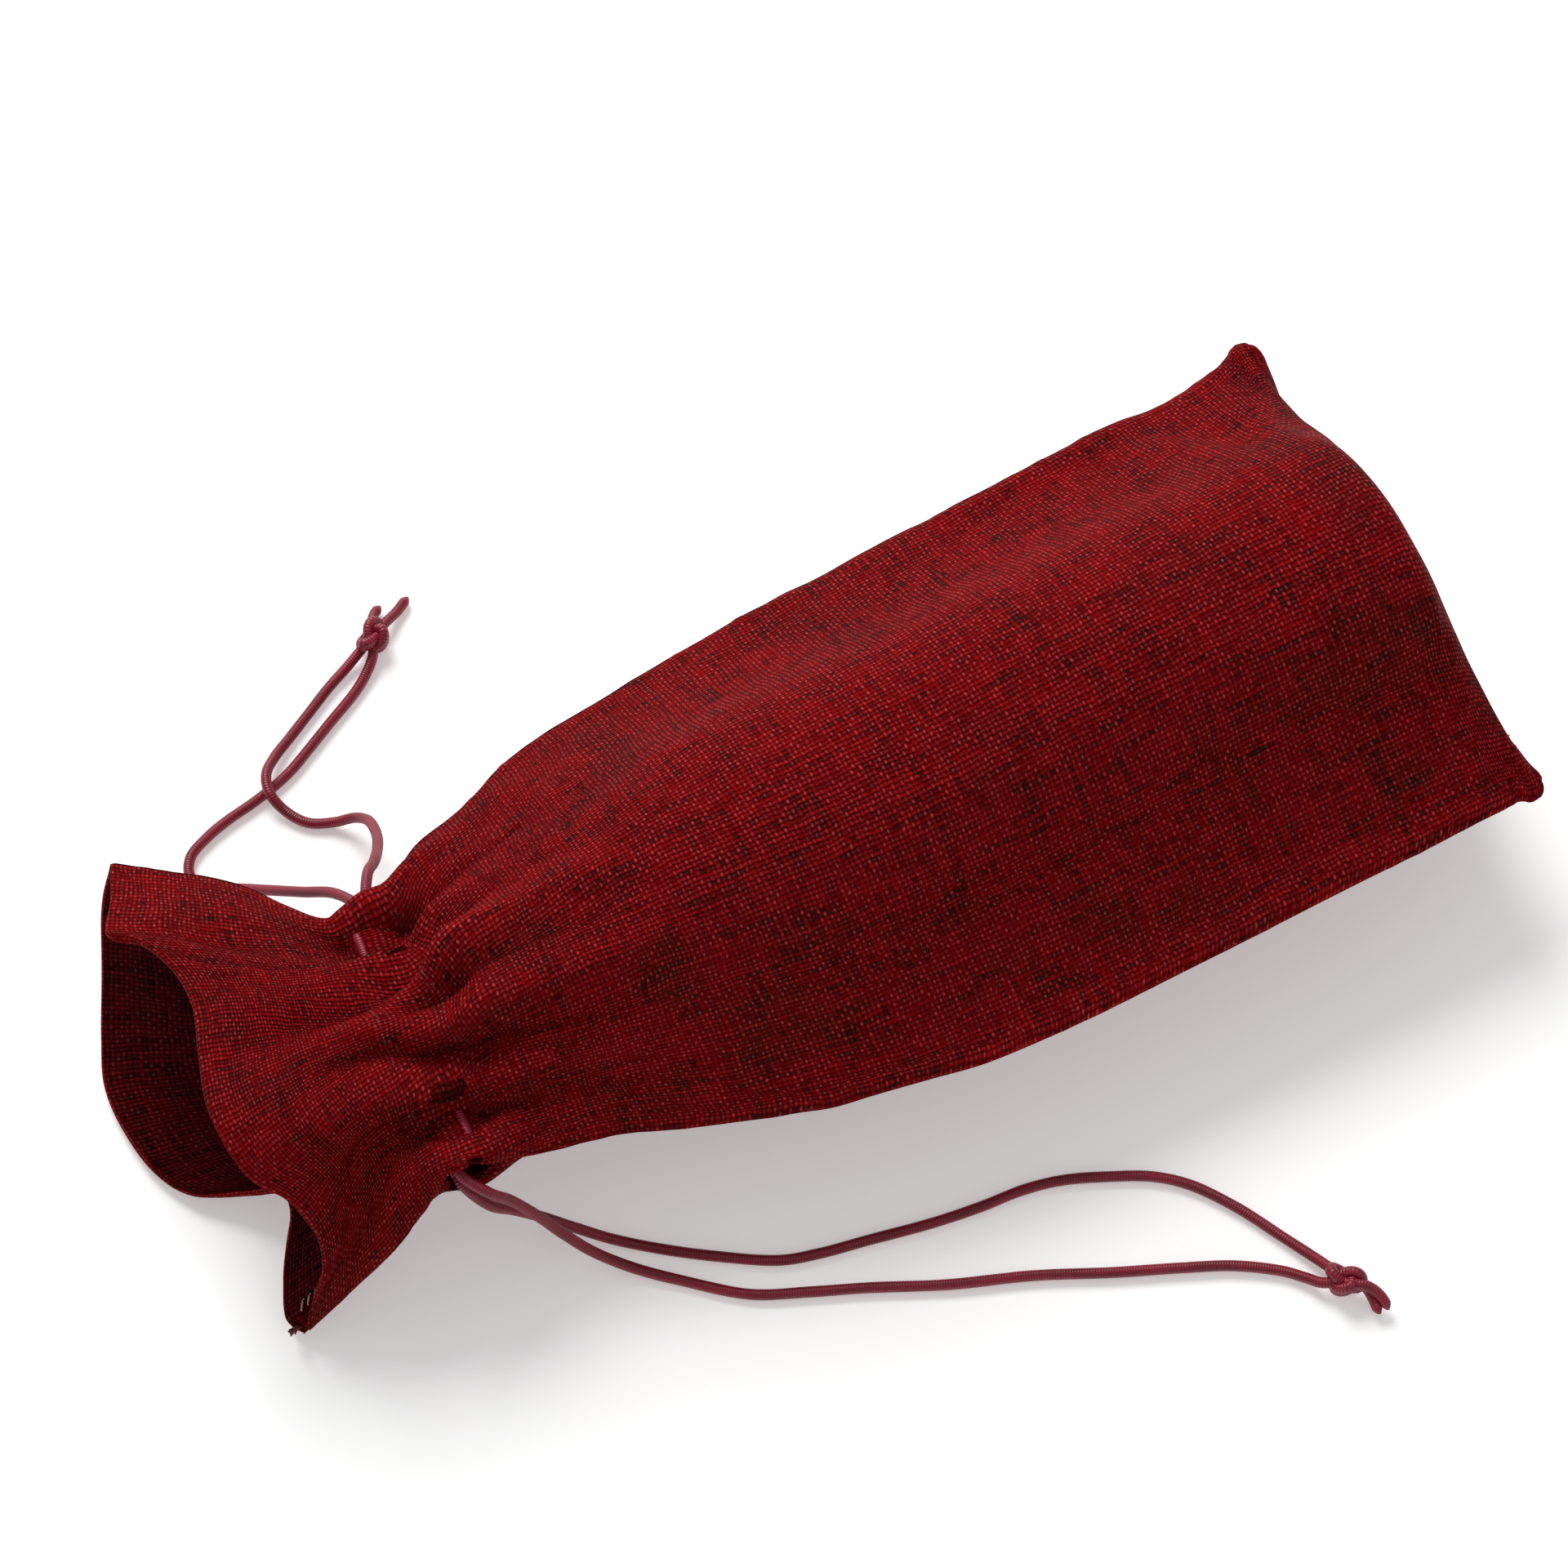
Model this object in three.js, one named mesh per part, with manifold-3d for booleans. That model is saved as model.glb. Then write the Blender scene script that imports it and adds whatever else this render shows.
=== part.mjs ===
// Wine gift bag: a drawstring bag of coarse plain-weave cloth, lying on its back panel and
// keeping the shape of a 75 cl bottle. Millimetres, +Z up, X runs from the mouth to the
// closed end, +Y is the bag's left side seen from the mouth.
//
// The two panels are thin shells sewn at both sides and at the closed end. The top of each
// panel is turned in as a hem, and two rows of stitching round the hem make a channel. Two
// cords run all round in that channel, one knotted at the left gap and one at the right.
import * as THREE from "three";
import { mergeVertices } from "three/addons/utils/BufferGeometryUtils.js";
import Module from "manifold-3d";

// ---- Driving dimensions ----
const CLOTH = 1.2; // thickness of the cloth
const GAP = 0.3; // clearance left between touching pieces
const HEM_CLOTH = 0.9; // thickness of the turned-in layer
const CORD = 2.6; // cord diameter
const BOTTLE_RADIUS = 37.5; // radius of the space the bottle takes
const AXIS_Y = -2.7; // the bottle space's axis
const AXIS_Z = 38;
const SEAM_GAP = 0.2; // half the gap between the panels' edges
const ACROSS = 16; // facets across a panel, from the left seam to the right
const LINE_FACETS = 4; // of those, the flat ones from each seam to the round
const ORIGIN_SHIFT = new THREE.Vector3(3, 0, 0); // brings the bag's box centre to the origin

// ---- The gathered neck ----
const NECK = new THREE.Vector3(-104.2, -1.5, AXIS_Z); // its centre
const NECK_YAW = THREE.MathUtils.degToRad(-5.3); // the gather runs a little aslant
const NECK_HALF = 35; // half width over the side seams
const NECK_RADIUS = 20.5; // round middle, inside the panels
const WING = 7; // inside height of the flat wing beside it, each way from the seams
const WING_FULLNESS = 10; // how squarely the wings end at the side seams
const CHANNEL_EDGE = 7.5; // from the channel's middle to each row of stitching
const CHANNEL_FLAT = 5.2; // half length of the part that is at full depth
const CHANNEL_DEPTH = 4.6; // room for a cord between the two layers
const HEM_END = 11; // how far the hem's raw edge lies behind the channel's middle
const SLOT_START = 29.3; // the side gaps reach in to here
const SLOT_DEPTH = 12; // and out past the cloth
const SLOT_HALF = 6.8; // half height of a side gap

// ---- Cords in the channel ----
const CORD_OFFSET = 2.6; // each cord keeps this far to its own side of the channel's middle
const CORD_HEIGHT = 4.5; // cord centre above or below the seams in the wings
const CORD_RADIUS = 18.35; // cord centre over the round middle
const LEG_STOPS = [19.8, 28, NECK_HALF]; // a strand runs straight out of the channel through these
const BEND_CENTRE = 27.3; // centre of the turn round the far side
const LOOP_START = 0.8; // how much higher than CORD_HEIGHT a loop starts over the round
const LOOP_STOP = 1.8; // and how much higher it leaves the round at the far side
const FLAT_RUN = [19.6, 23]; // it then runs flat through these to the turn

// ---- Free cords ----
const LYING = 1.5; // height of a cord's centre where it lies on the surface
const CORD_SIDES = 8;
const MOST_STEPS = 80;
const LOOP_STEP = 5; // lengths of tube between sections
const STRAND_STEP = 6.2;
const TAIL_STEP = 3;
const KNOT_RADIUS = 4.3;
const KNOT_TUBE = 1.7;
const KNOT_LOOPS = [
  { tilt: 0.5, turn: 0 },
  { tilt: 1.5, turn: 1.1 },
  { tilt: 1.4, turn: -0.9 },
]; // radians, each loop tipped over and then turned

// ---- Seams and stitching ----
const ALLOWANCE = { start: 3.5, end: 8.5, half: 0.7 }; // in from the edge, and half thickness
const THREAD = 0.8; // width and height of a line of stitching

// ---- Rows of the panel grids, counted from the rim ----
const RUFFLE_STEPS = [1 / 3, 2 / 3]; // rows between the rim and the channel
const UPPER_STITCH_ROW = 3;
const CHANNEL_ROWS = [4, 5]; // these stand off the panel by the channel's depth
const LOWER_STITCH_ROW = 6;
const MOUTH_SEAM = [0, 2]; // first and last row of each stretch of side seam
const SIDE_SEAM = [8, 17];

// ---- Cloth edge points, by hand: the rim of each panel from the left corner to the right ----
const FRONT_RIM = [
  [-145, 73, 38],
  [-150, 62, 42],
  [-155, 52, 46],
  [-150, 46, 48],
  [-146, 35, 50],
  [-146, 24, 52],
  [-150, 12, 54],
  [-154, -2, 55],
  [-153, -18, 50],
  [-147, -24, 42],
  [-145, -28, 37],
  [-144, -32, 30],
  [-146, -36, 20],
  [-149, -37, 14],
  [-154, -40, 3],
];
const BACK_RIM = [
  [-145, 73, 38],
  [-150, 70, 30],
  [-158, 59, 14],
  [-164, 49, 6],
  [-168, 40, 2],
  [-169, 26, 1.3],
  [-167, 13, 1.3],
  [-162, 3, 2.5],
  [-152, -5, 8],
  [-145, -11, 14],
  [-145, -16, 16],
  [-149, -21, 10],
  [-153, -28, 6],
  [-156, -36, 3],
  [-154, -40, 3],
];

// ---- Sections of the body: ends of the seam line, its height, the round's radius and how
// much of the height is left where the closed end draws in ----
const BODY_ROWS = [
  { left: [-84, 42.5], right: [-90, -40.5], seam: 37.5, radius: 22, height: 1 },
  { left: [-70, 49.5], right: [-76, -45.5], seam: 36.5, radius: 25.5, height: 1 },
  { left: [-54, 56.5], right: [-58, -52.5], seam: 36, radius: 31, height: 1 },
  { left: [-36, 59.5], right: [-38, -59.5], seam: 36, radius: 35.5, height: 1 },
  { left: [-12, 60.5], right: [-12, -65.5], seam: 36, radius: BOTTLE_RADIUS, height: 1 },
  { left: [25, 62], right: [25, -70], seam: 36, radius: BOTTLE_RADIUS, height: 1 },
  { left: [70, 64], right: [70, -71], seam: 36, radius: BOTTLE_RADIUS, height: 1 },
  { left: [115, 65.5], right: [115, -71.5], seam: 36, radius: BOTTLE_RADIUS, height: 1 },
  { left: [143, 66.5], right: [143, -72], seam: 35.5, radius: BOTTLE_RADIUS, height: 1 },
  { left: [153, 68], right: [151, -73], seam: 35, radius: BOTTLE_RADIUS, height: 0.92 },
  { left: [159, 69], right: [156, -73], seam: 34.5, radius: BOTTLE_RADIUS, height: 0.6 },
  { left: [163, 68], right: [160, -71], seam: 34, radius: BOTTLE_RADIUS, height: 0 },
];

const FRONT = 1;
const BACK = -1;
const UP = new THREE.Vector3(0, 0, 1);

const wasm = await Module();
wasm.setup();

// ---- Materials ----
const clothMaterial = (color) =>
  new THREE.MeshStandardMaterial({ color, roughness: 0.9, metalness: 0 });
const cordMaterial = () =>
  new THREE.MeshStandardMaterial({ color: 0x7d1230, roughness: 0.4, metalness: 0 });
const threadMaterial = () =>
  new THREE.MeshStandardMaterial({ color: 0x5a0e16, roughness: 0.75, metalness: 0 });

const bag = new THREE.Group();
bag.position.copy(ORIGIN_SHIFT);

function addMesh(name, geometry, material) {
  const mesh = new THREE.Mesh(geometry, material);
  mesh.name = name;
  bag.add(mesh);
  return mesh;
}

// ---- Geometry helpers ----
function signedVolume(points, triangles) {
  let volume = 0;
  for (const [a, b, c] of triangles) {
    volume += points[a].dot(points[b].clone().cross(points[c])) / 6;
  }
  return volume;
}

// A closed mesh from points and triangles, with its faces turned out.
function closedGeometry(points, triangles) {
  const turned =
    signedVolume(points, triangles) < 0 ? triangles.map(([a, b, c]) => [a, c, b]) : triangles;
  return new THREE.BufferGeometry().setFromPoints(points).setIndex(turned.flat());
}

// A closed shell between two grids of the same size, grid[row][column].
function shellBetween(inner, outer) {
  const rows = inner.length;
  const columns = inner[0].length;
  const points = [...inner.flat(), ...outer.flat()];
  const at = (layer, row, column) => layer * rows * columns + row * columns + column;
  const triangles = [];
  const quad = (a, b, c, d) => triangles.push([a, b, c], [a, c, d]);
  for (let i = 0; i < rows - 1; i++) {
    for (let j = 0; j < columns - 1; j++) {
      quad(at(0, i, j), at(0, i, j + 1), at(0, i + 1, j + 1), at(0, i + 1, j));
      quad(at(1, i, j), at(1, i + 1, j), at(1, i + 1, j + 1), at(1, i, j + 1));
    }
  }
  const last = { row: rows - 1, column: columns - 1 };
  for (let j = 0; j < last.column; j++) {
    quad(at(0, 0, j + 1), at(0, 0, j), at(1, 0, j), at(1, 0, j + 1));
    quad(at(0, last.row, j), at(0, last.row, j + 1), at(1, last.row, j + 1), at(1, last.row, j));
  }
  for (let i = 0; i < last.row; i++) {
    quad(at(0, i, 0), at(0, i + 1, 0), at(1, i + 1, 0), at(1, i, 0));
    quad(
      at(0, i + 1, last.column),
      at(0, i, last.column),
      at(1, i, last.column),
      at(1, i + 1, last.column),
    );
  }
  return closedGeometry(points, triangles);
}

function toManifold(geometry) {
  const bare = geometry.clone();
  bare.deleteAttribute("normal");
  bare.deleteAttribute("uv");
  const merged = mergeVertices(bare, 1e-3);
  return new wasm.Manifold(
    new wasm.Mesh({
      numProp: 3,
      vertProperties: merged.attributes.position.array,
      triVerts: new Uint32Array(merged.index.array),
    }),
  );
}

function fromManifold(solid) {
  const mesh = solid.getMesh();
  const geometry = new THREE.BufferGeometry();
  geometry.setAttribute("position", new THREE.BufferAttribute(mesh.vertProperties, 3));
  return geometry.setIndex(new THREE.BufferAttribute(mesh.triVerts, 1));
}

// A place in the neck's own frame: along the bag, across it, and up from the seams.
function neckPoint(along, across, up) {
  return new THREE.Vector3(along, across, up).applyAxisAngle(UP, NECK_YAW).add(NECK);
}

// ---- Panel surfaces (inside faces) ----
// The neck's section: a round middle for the bottle's neck between two flat wings.
function neckRow(side, along) {
  return Array.from({ length: ACROSS + 1 }, (_, j) => {
    const across = NECK_HALF * Math.cos((Math.PI * j) / ACROSS);
    const wing = WING * Math.sqrt(Math.max(0, 1 - (Math.abs(across) / NECK_HALF) ** WING_FULLNESS));
    const round = Math.sqrt(Math.max(0, NECK_RADIUS ** 2 - across ** 2));
    const up = Math.max(wing, round, SEAM_GAP);
    return neckPoint(along, across, side * up);
  });
}

// The body's section: flat from each seam to where it meets the round, then over the round.
function bodyRow(side, { left, right, seam, radius, height }) {
  const towards = (y, turn) => {
    const dy = y - AXIS_Y;
    const dz = seam - AXIS_Z;
    const reach = Math.acos(radius / Math.hypot(dy, dz));
    return Math.atan2(dz, dy) + side * turn * reach;
  };
  const from = towards(left[1], 1);
  let to = towards(right[1], -1);
  if (side * to < 0) to += side * 2 * Math.PI;
  const onRound = (angle) => [
    AXIS_Y + radius * Math.cos(angle),
    AXIS_Z + radius * Math.sin(angle),
  ];
  const arcFacets = ACROSS - 2 * LINE_FACETS;
  const section = (j) => {
    if (j < LINE_FACETS) {
      const [y, z] = onRound(from);
      const t = j / LINE_FACETS;
      return [left[1] + (y - left[1]) * t, seam + (z - seam) * t];
    }
    if (j > ACROSS - LINE_FACETS) {
      const [y, z] = onRound(to);
      const t = (ACROSS - j) / LINE_FACETS;
      return [right[1] + (y - right[1]) * t, seam + (z - seam) * t];
    }
    return onRound(from + ((to - from) * (j - LINE_FACETS)) / arcFacets);
  };
  return Array.from({ length: ACROSS + 1 }, (_, j) => {
    const [y, z] = section(j);
    const x = left[0] + ((right[0] - left[0]) * j) / ACROSS;
    const rise = Math.max(side * (z - seam) * height, SEAM_GAP);
    return new THREE.Vector3(x, y, Math.max(seam + side * rise, CLOTH));
  });
}

function rimRow(side) {
  const corners = (side === FRONT ? FRONT_RIM : BACK_RIM).map((p) => new THREE.Vector3(...p));
  const row = new THREE.CatmullRomCurve3(corners, false, "centripetal").getSpacedPoints(ACROSS);
  row[0].z += side * SEAM_GAP;
  row[ACROSS].z += side * SEAM_GAP;
  for (const point of row) point.z = Math.max(point.z, CLOTH);
  return row;
}

const blendRows = (a, b, t) => a.map((point, j) => point.clone().lerp(b[j], t));

// Rows from the rim to the hem's raw edge, then down the body to the closed end.
function panelRows(side) {
  const rim = rimRow(side);
  const channelTop = neckRow(side, -CHANNEL_EDGE);
  const hem = [
    rim,
    ...RUFFLE_STEPS.map((t) => blendRows(rim, channelTop, t)),
    channelTop,
    neckRow(side, -CHANNEL_FLAT),
    neckRow(side, CHANNEL_FLAT),
    neckRow(side, CHANNEL_EDGE),
    neckRow(side, HEM_END),
  ];
  return { hem, all: [...hem, ...BODY_ROWS.map((row) => bodyRow(side, row))] };
}

// Unit normals of a grid, pointing out of the bag.
function outwardNormals(grid, side) {
  const lastRow = grid.length - 1;
  const lastColumn = grid[0].length - 1;
  return grid.map((row, i) =>
    row.map((_, j) => {
      const across = row[Math.min(j + 1, lastColumn)].clone().sub(row[Math.max(j - 1, 0)]);
      const along = grid[Math.min(i + 1, lastRow)][j]
        .clone()
        .sub(grid[Math.max(i - 1, 0)][j]);
      return across.cross(along).normalize().multiplyScalar(side);
    }),
  );
}

// The grid moved out along its normals, never below the surface the bag lies on.
function offsetGrid(grid, normals, distance) {
  return grid.map((row, i) =>
    row.map((point, j) => {
      const moved = point.clone().addScaledVector(normals[i][j], distance);
      const resting = distance > 0 && point.z <= CLOTH;
      moved.z = resting ? 0 : Math.max(moved.z, 0);
      return moved;
    }),
  );
}

// The gaps left in the side seams, where each cord's two ends come out.
function sideGap(hand) {
  const box = new THREE.BoxGeometry(2 * CHANNEL_FLAT, SLOT_DEPTH, 2 * SLOT_HALF);
  box.rotateZ(NECK_YAW);
  const centre = neckPoint(0, hand * (SLOT_START + SLOT_DEPTH / 2), 0);
  return toManifold(box.translate(centre.x, centre.y, centre.z));
}
const sideGaps = sideGap(1).add(sideGap(-1));

const panels = { [FRONT]: panelRows(FRONT), [BACK]: panelRows(BACK) };

function panelGeometry(side) {
  const inner = panels[side].all;
  const outer = offsetGrid(inner, outwardNormals(inner, side), CLOTH);
  return fromManifold(toManifold(shellBetween(inner, outer)).subtract(sideGaps));
}

// The turned-in layer lies against the panel, and stands off it in the channel.
function hemGeometry(side) {
  const rows = panels[side].hem;
  const normals = outwardNormals(rows, side);
  const standOff = rows.map((_, i) => (CHANNEL_ROWS.includes(i) ? CHANNEL_DEPTH : GAP));
  const layer = (extra, clearance) =>
    rows.map((row, i) =>
      row.slice(1, ACROSS).map((point, j) => {
        const moved = point.clone().addScaledVector(normals[i][j + 1], -standOff[i] - extra);
        const above = side * (moved.z - NECK.z);
        if (i >= UPPER_STITCH_ROW) moved.z = NECK.z + side * Math.max(above, clearance);
        return moved;
      }),
    );
  const inside = layer(HEM_CLOTH, GAP);
  const outside = layer(0, GAP + HEM_CLOTH);
  const solid = toManifold(shellBetween(inside, outside));
  return fromManifold(solid.subtract(sideGaps));
}

// ---- Seams: the two layers' sewn allowance, standing inside along the edge ----

// The point a given distance in from the edge, half way between the panels.
function betweenPanels(front, back, distance) {
  const on = ([edge, next]) =>
    edge.clone().addScaledVector(next.clone().sub(edge).normalize(), distance);
  const upper = on(front);
  const lower = on(back);
  const across = upper.clone().sub(lower).normalize();
  return { middle: upper.add(lower).multiplyScalar(0.5), across };
}

function allowanceStrip(pairs) {
  const layer = (sign) =>
    pairs.map(([front, back]) =>
      [ALLOWANCE.start, ALLOWANCE.end].map((distance) => {
        const { middle, across } = betweenPanels(front, back, distance);
        return middle.addScaledVector(across, sign * ALLOWANCE.half);
      }),
    );
  return shellBetween(layer(-1), layer(1));
}

function sidePairs(first, last, edge, next) {
  const rowsOf = (side) => panels[side].all.slice(first, last + 1);
  const back = rowsOf(BACK);
  return rowsOf(FRONT).map((row, i) => [
    [row[edge], row[next]],
    [back[i][edge], back[i][next]],
  ]);
}

function endPairs() {
  const rowsOf = (side) => panels[side].all.slice(-2);
  const [frontNext, frontEdge] = rowsOf(FRONT);
  const [backNext, backEdge] = rowsOf(BACK);
  const pairs = [];
  for (let j = LINE_FACETS; j <= ACROSS - LINE_FACETS; j++) {
    pairs.push([
      [frontEdge[j], frontNext[j]],
      [backEdge[j], backNext[j]],
    ]);
  }
  return pairs;
}

// ---- Stitching round the channel: a flat thread line just outside the cloth ----

function stitchRing(rowIndex) {
  const ring = [];
  for (const side of [FRONT, BACK]) {
    const rows = panels[side].all;
    const normals = outwardNormals(rows, side)[rowIndex];
    const points = rows[rowIndex].map((point, j) => ({ point, normal: normals[j] }));
    ring.push(...(side === FRONT ? points : points.reverse()));
  }
  const along = neckPoint(1, 0, 0).sub(neckPoint(0, 0, 0)).multiplyScalar(THREAD / 2);
  const section = ({ point, normal }) => {
    const low = point.clone().addScaledVector(normal, CLOTH + GAP);
    const high = low.clone().addScaledVector(normal, THREAD);
    return [
      low.clone().sub(along),
      low.clone().add(along),
      high.clone().add(along),
      high.clone().sub(along),
    ];
  };
  const points = ring.flatMap(section);
  const triangles = [];
  for (let i = 0; i < ring.length; i++) {
    const next = (i + 1) % ring.length;
    for (let k = 0; k < 4; k++) {
      const corner = (k + 1) % 4;
      const [a, b] = [4 * i + k, 4 * i + corner];
      const [c, d] = [4 * next + corner, 4 * next + k];
      triangles.push([a, b, c], [a, c, d]);
    }
  }
  return closedGeometry(points, triangles);
}

// ---- Cords ----
const cordSection = (diameter) => {
  const shape = new THREE.Shape();
  for (let k = 0; k < CORD_SIDES; k++) {
    const angle = (2 * Math.PI * k) / CORD_SIDES;
    const [x, y] = [(Math.cos(angle) * diameter) / 2, (Math.sin(angle) * diameter) / 2];
    if (k === 0) shape.moveTo(x, y);
    else shape.lineTo(x, y);
  }
  return shape;
};

function tube(points, diameter, stepLength) {
  const curve = new THREE.CatmullRomCurve3(points, false, "centripetal");
  const steps = Math.min(MOST_STEPS, Math.ceil(curve.getLength() / stepLength));
  return new THREE.ExtrudeGeometry(cordSection(diameter), {
    steps,
    extrudePath: curve,
    bevelEnabled: false,
  });
}

// The part of a cord that stays in the channel: over the round middle, round the far side's
// gap and back underneath. The hand, 1 left or -1 right, is the side where its ends come out.
function channelLoop(hand) {
  const startAngle = Math.asin((CORD_HEIGHT + LOOP_START) / CORD_RADIUS);
  const stopAngle = Math.PI - Math.asin((CORD_HEIGHT + LOOP_STOP) / CORD_RADIUS);
  const roundSteps = 10;
  const over = [];
  for (let k = 0; k <= roundSteps; k++) {
    const angle = startAngle + ((stopAngle - startAngle) * k) / roundSteps;
    over.push([-CORD_RADIUS * Math.cos(angle), CORD_RADIUS * Math.sin(angle)]);
  }
  over.push(...FLAT_RUN.map((away) => [away, CORD_HEIGHT]));
  const turnSteps = 4;
  const turn = [];
  for (let k = 0; k <= turnSteps; k++) {
    const angle = Math.PI / 2 - (Math.PI * k) / turnSteps;
    turn.push([BEND_CENTRE + CORD_HEIGHT * Math.cos(angle), CORD_HEIGHT * Math.sin(angle)]);
  }
  const under = over.map(([away, up]) => [away, -up]).reverse();
  const path = [...over, ...turn, ...under].map(([away, up]) =>
    neckPoint(hand * CORD_OFFSET, -hand * away, up),
  );
  return tube(path, CORD, LOOP_STEP);
}

// A free strand: straight out of the channel through the side gap, then along its own route.
function strand(hand, side, route) {
  const leg = LEG_STOPS.map((out) =>
    neckPoint(hand * CORD_OFFSET, hand * out, side * CORD_HEIGHT),
  );
  return tube([...leg, ...route.map((p) => new THREE.Vector3(...p))], CORD, STRAND_STEP);
}

// An overhand knot in both strands together, as three loops pulled tight on each other.
function knot([x, y, z], yaw) {
  const loops = KNOT_LOOPS.map(({ tilt, turn }) => {
    const loop = new THREE.TorusGeometry(KNOT_RADIUS - KNOT_TUBE, KNOT_TUBE, 6, 12);
    return toManifold(loop.rotateX(tilt).rotateZ(turn + yaw));
  });
  const core = toManifold(new THREE.SphereGeometry(KNOT_RADIUS - KNOT_TUBE, 8, 6));
  const solid = loops.reduce((whole, loop) => whole.add(loop), core);
  return fromManifold(solid).translate(x, y, z);
}

// Routes by hand, from just outside the side gaps to the knots, and the tails beyond them.
const CORDS = {
  right: {
    hand: -1,
    front: [
      [-109, -39.8, 41.8],
      [-106, -42.6, 38.2],
      [-101.8, -44.2, 32],
      [-97.4, -46.8, 24],
      [-92.8, -50.6, 15],
      [-87.6, -55.4, 7.4],
      [-80.6, -61.8, 2.8],
      [-72, -69.6, LYING],
      [-60, -80, LYING],
      [-48, -86, LYING],
      [-36, -91.5, LYING],
      [-19, -100, LYING],
      [-1, -107.5, LYING],
      [16, -116, LYING],
      [30, -122.5, LYING],
      [41, -128, LYING],
      [50, -134.5, LYING],
      [53.6, -138.6, 2.1],
      [56, -141.9, 3.4],
    ],
    back: [
      [-109.2, -39.6, 32.8],
      [-106, -41.8, 29],
      [-101.2, -43, 23],
      [-95.4, -44.8, 15.6],
      [-89, -48.2, 8.6],
      [-81.6, -53.4, 3.4],
      [-73, -60, LYING],
      [-63, -67.6, LYING],
      [-50, -76, LYING],
      [-41, -79, LYING],
      [-30, -81.5, LYING],
      [-15, -85, LYING],
      [-3, -87, LYING],
      [8, -88.2, LYING],
      [17, -90.5, LYING],
      [27, -95, LYING],
      [36, -100, LYING],
      [42.5, -106, LYING],
      [49, -116, LYING],
      [54.5, -127.5, LYING],
      [57.4, -134, 2],
      [59.2, -139.2, 3.4],
    ],
    knot: [60.5, -144, 4.6],
    knotYaw: -0.9,
    frontTail: [
      [62.4, -148.6, 3.6],
      [63.2, -152, 2.3],
      [62.8, -155.5, LYING],
    ],
    backTail: [
      [65, -146.5, 3.6],
      [66.6, -150, 2.3],
      [66.8, -153.5, LYING],
    ],
  },
  left: {
    hand: 1,
    front: [
      [-97.2, 37.2, 42],
      [-94.4, 41, 39.2],
      [-91.2, 45, 34.8],
      [-88.4, 49.8, 29.4],
      [-86, 55.4, 23.4],
      [-84.4, 61.6, 17],
      [-84, 67.6, 10.6],
      [-85.8, 72.2, 5.2],
      [-90, 75, 2],
      [-95.5, 78.2, LYING],
      [-99, 83.5, 2.2],
      [-100.4, 88.5, 4.5],
      [-99, 93.2, 4.6],
      [-94.8, 97.6, 2.6],
      [-89, 101.2, LYING],
      [-82, 105, LYING],
      [-74, 109.3, LYING],
      [-68, 111.8, 2],
      [-63.8, 113.4, 3.2],
    ],
    back: [
      [-98.2, 38.6, 32.8],
      [-101.4, 44.8, 28.4],
      [-107.4, 53.6, 19.6],
      [-116, 65, 9],
      [-122.5, 72.5, 3.4],
      [-126.6, 78.6, LYING],
      [-124.4, 83.4, LYING],
      [-118.5, 86.4, LYING],
      [-112, 88.2, LYING],
      [-105, 89.4, LYING],
      [-99, 90.8, LYING],
      [-93, 92.8, LYING],
      [-86.5, 96, LYING],
      [-79, 99.9, LYING],
      [-69, 105, LYING],
      [-64.6, 108, 2],
      [-61.4, 110.8, 3.2],
    ],
    knot: [-59, 115, 4.6],
    knotYaw: 0.6,
    frontTail: [
      [-57.2, 119.6, 3.4],
      [-55.4, 121.9, 2.2],
      [-53.2, 123.4, LYING],
    ],
    backTail: [
      [-54.7, 117.5, 3.4],
      [-50.4, 119.8, 2],
      [-46, 122.4, LYING],
    ],
  },
};

// ---- The bag ----
addMesh("front_panel", panelGeometry(FRONT), clothMaterial(0x7a1822));
addMesh("back_panel", panelGeometry(BACK), clothMaterial(0x701620));
addMesh("front_hem", hemGeometry(FRONT), clothMaterial(0x5c1018));
addMesh("back_hem", hemGeometry(BACK), clothMaterial(0x5c1018));

const EDGES = { left: [0, 1], right: [ACROSS, ACROSS - 1] };
for (const [name, [edge, next]] of Object.entries(EDGES)) {
  const mouth = allowanceStrip(sidePairs(...MOUTH_SEAM, edge, next));
  const side = allowanceStrip(sidePairs(...SIDE_SEAM, edge, next));
  addMesh(`${name}_mouth_seam`, mouth, clothMaterial(0x661420));
  addMesh(`${name}_side_seam`, side, clothMaterial(0x661420));
}
addMesh("bottom_seam", allowanceStrip(endPairs()), clothMaterial(0x661420));

addMesh("upper_channel_stitching", stitchRing(UPPER_STITCH_ROW), threadMaterial());
addMesh("lower_channel_stitching", stitchRing(LOWER_STITCH_ROW), threadMaterial());

for (const [name, cord] of Object.entries(CORDS)) {
  addMesh(`${name}_cord_in_channel`, channelLoop(cord.hand), cordMaterial());
  addMesh(`${name}_front_strand`, strand(cord.hand, FRONT, cord.front), cordMaterial());
  addMesh(`${name}_back_strand`, strand(cord.hand, BACK, cord.back), cordMaterial());
  addMesh(`${name}_knot`, knot(cord.knot, cord.knotYaw), cordMaterial());
  for (const tail of ["frontTail", "backTail"]) {
    const points = cord[tail].map((p) => new THREE.Vector3(...p));
    const nodeName = tail === "frontTail" ? "front_tail" : "back_tail";
    addMesh(`${name}_${nodeName}`, tube(points, CORD, TAIL_STEP), cordMaterial());
  }
}

export default bag;
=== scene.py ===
import math

import bpy
import numpy as np
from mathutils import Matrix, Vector, noise


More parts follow.
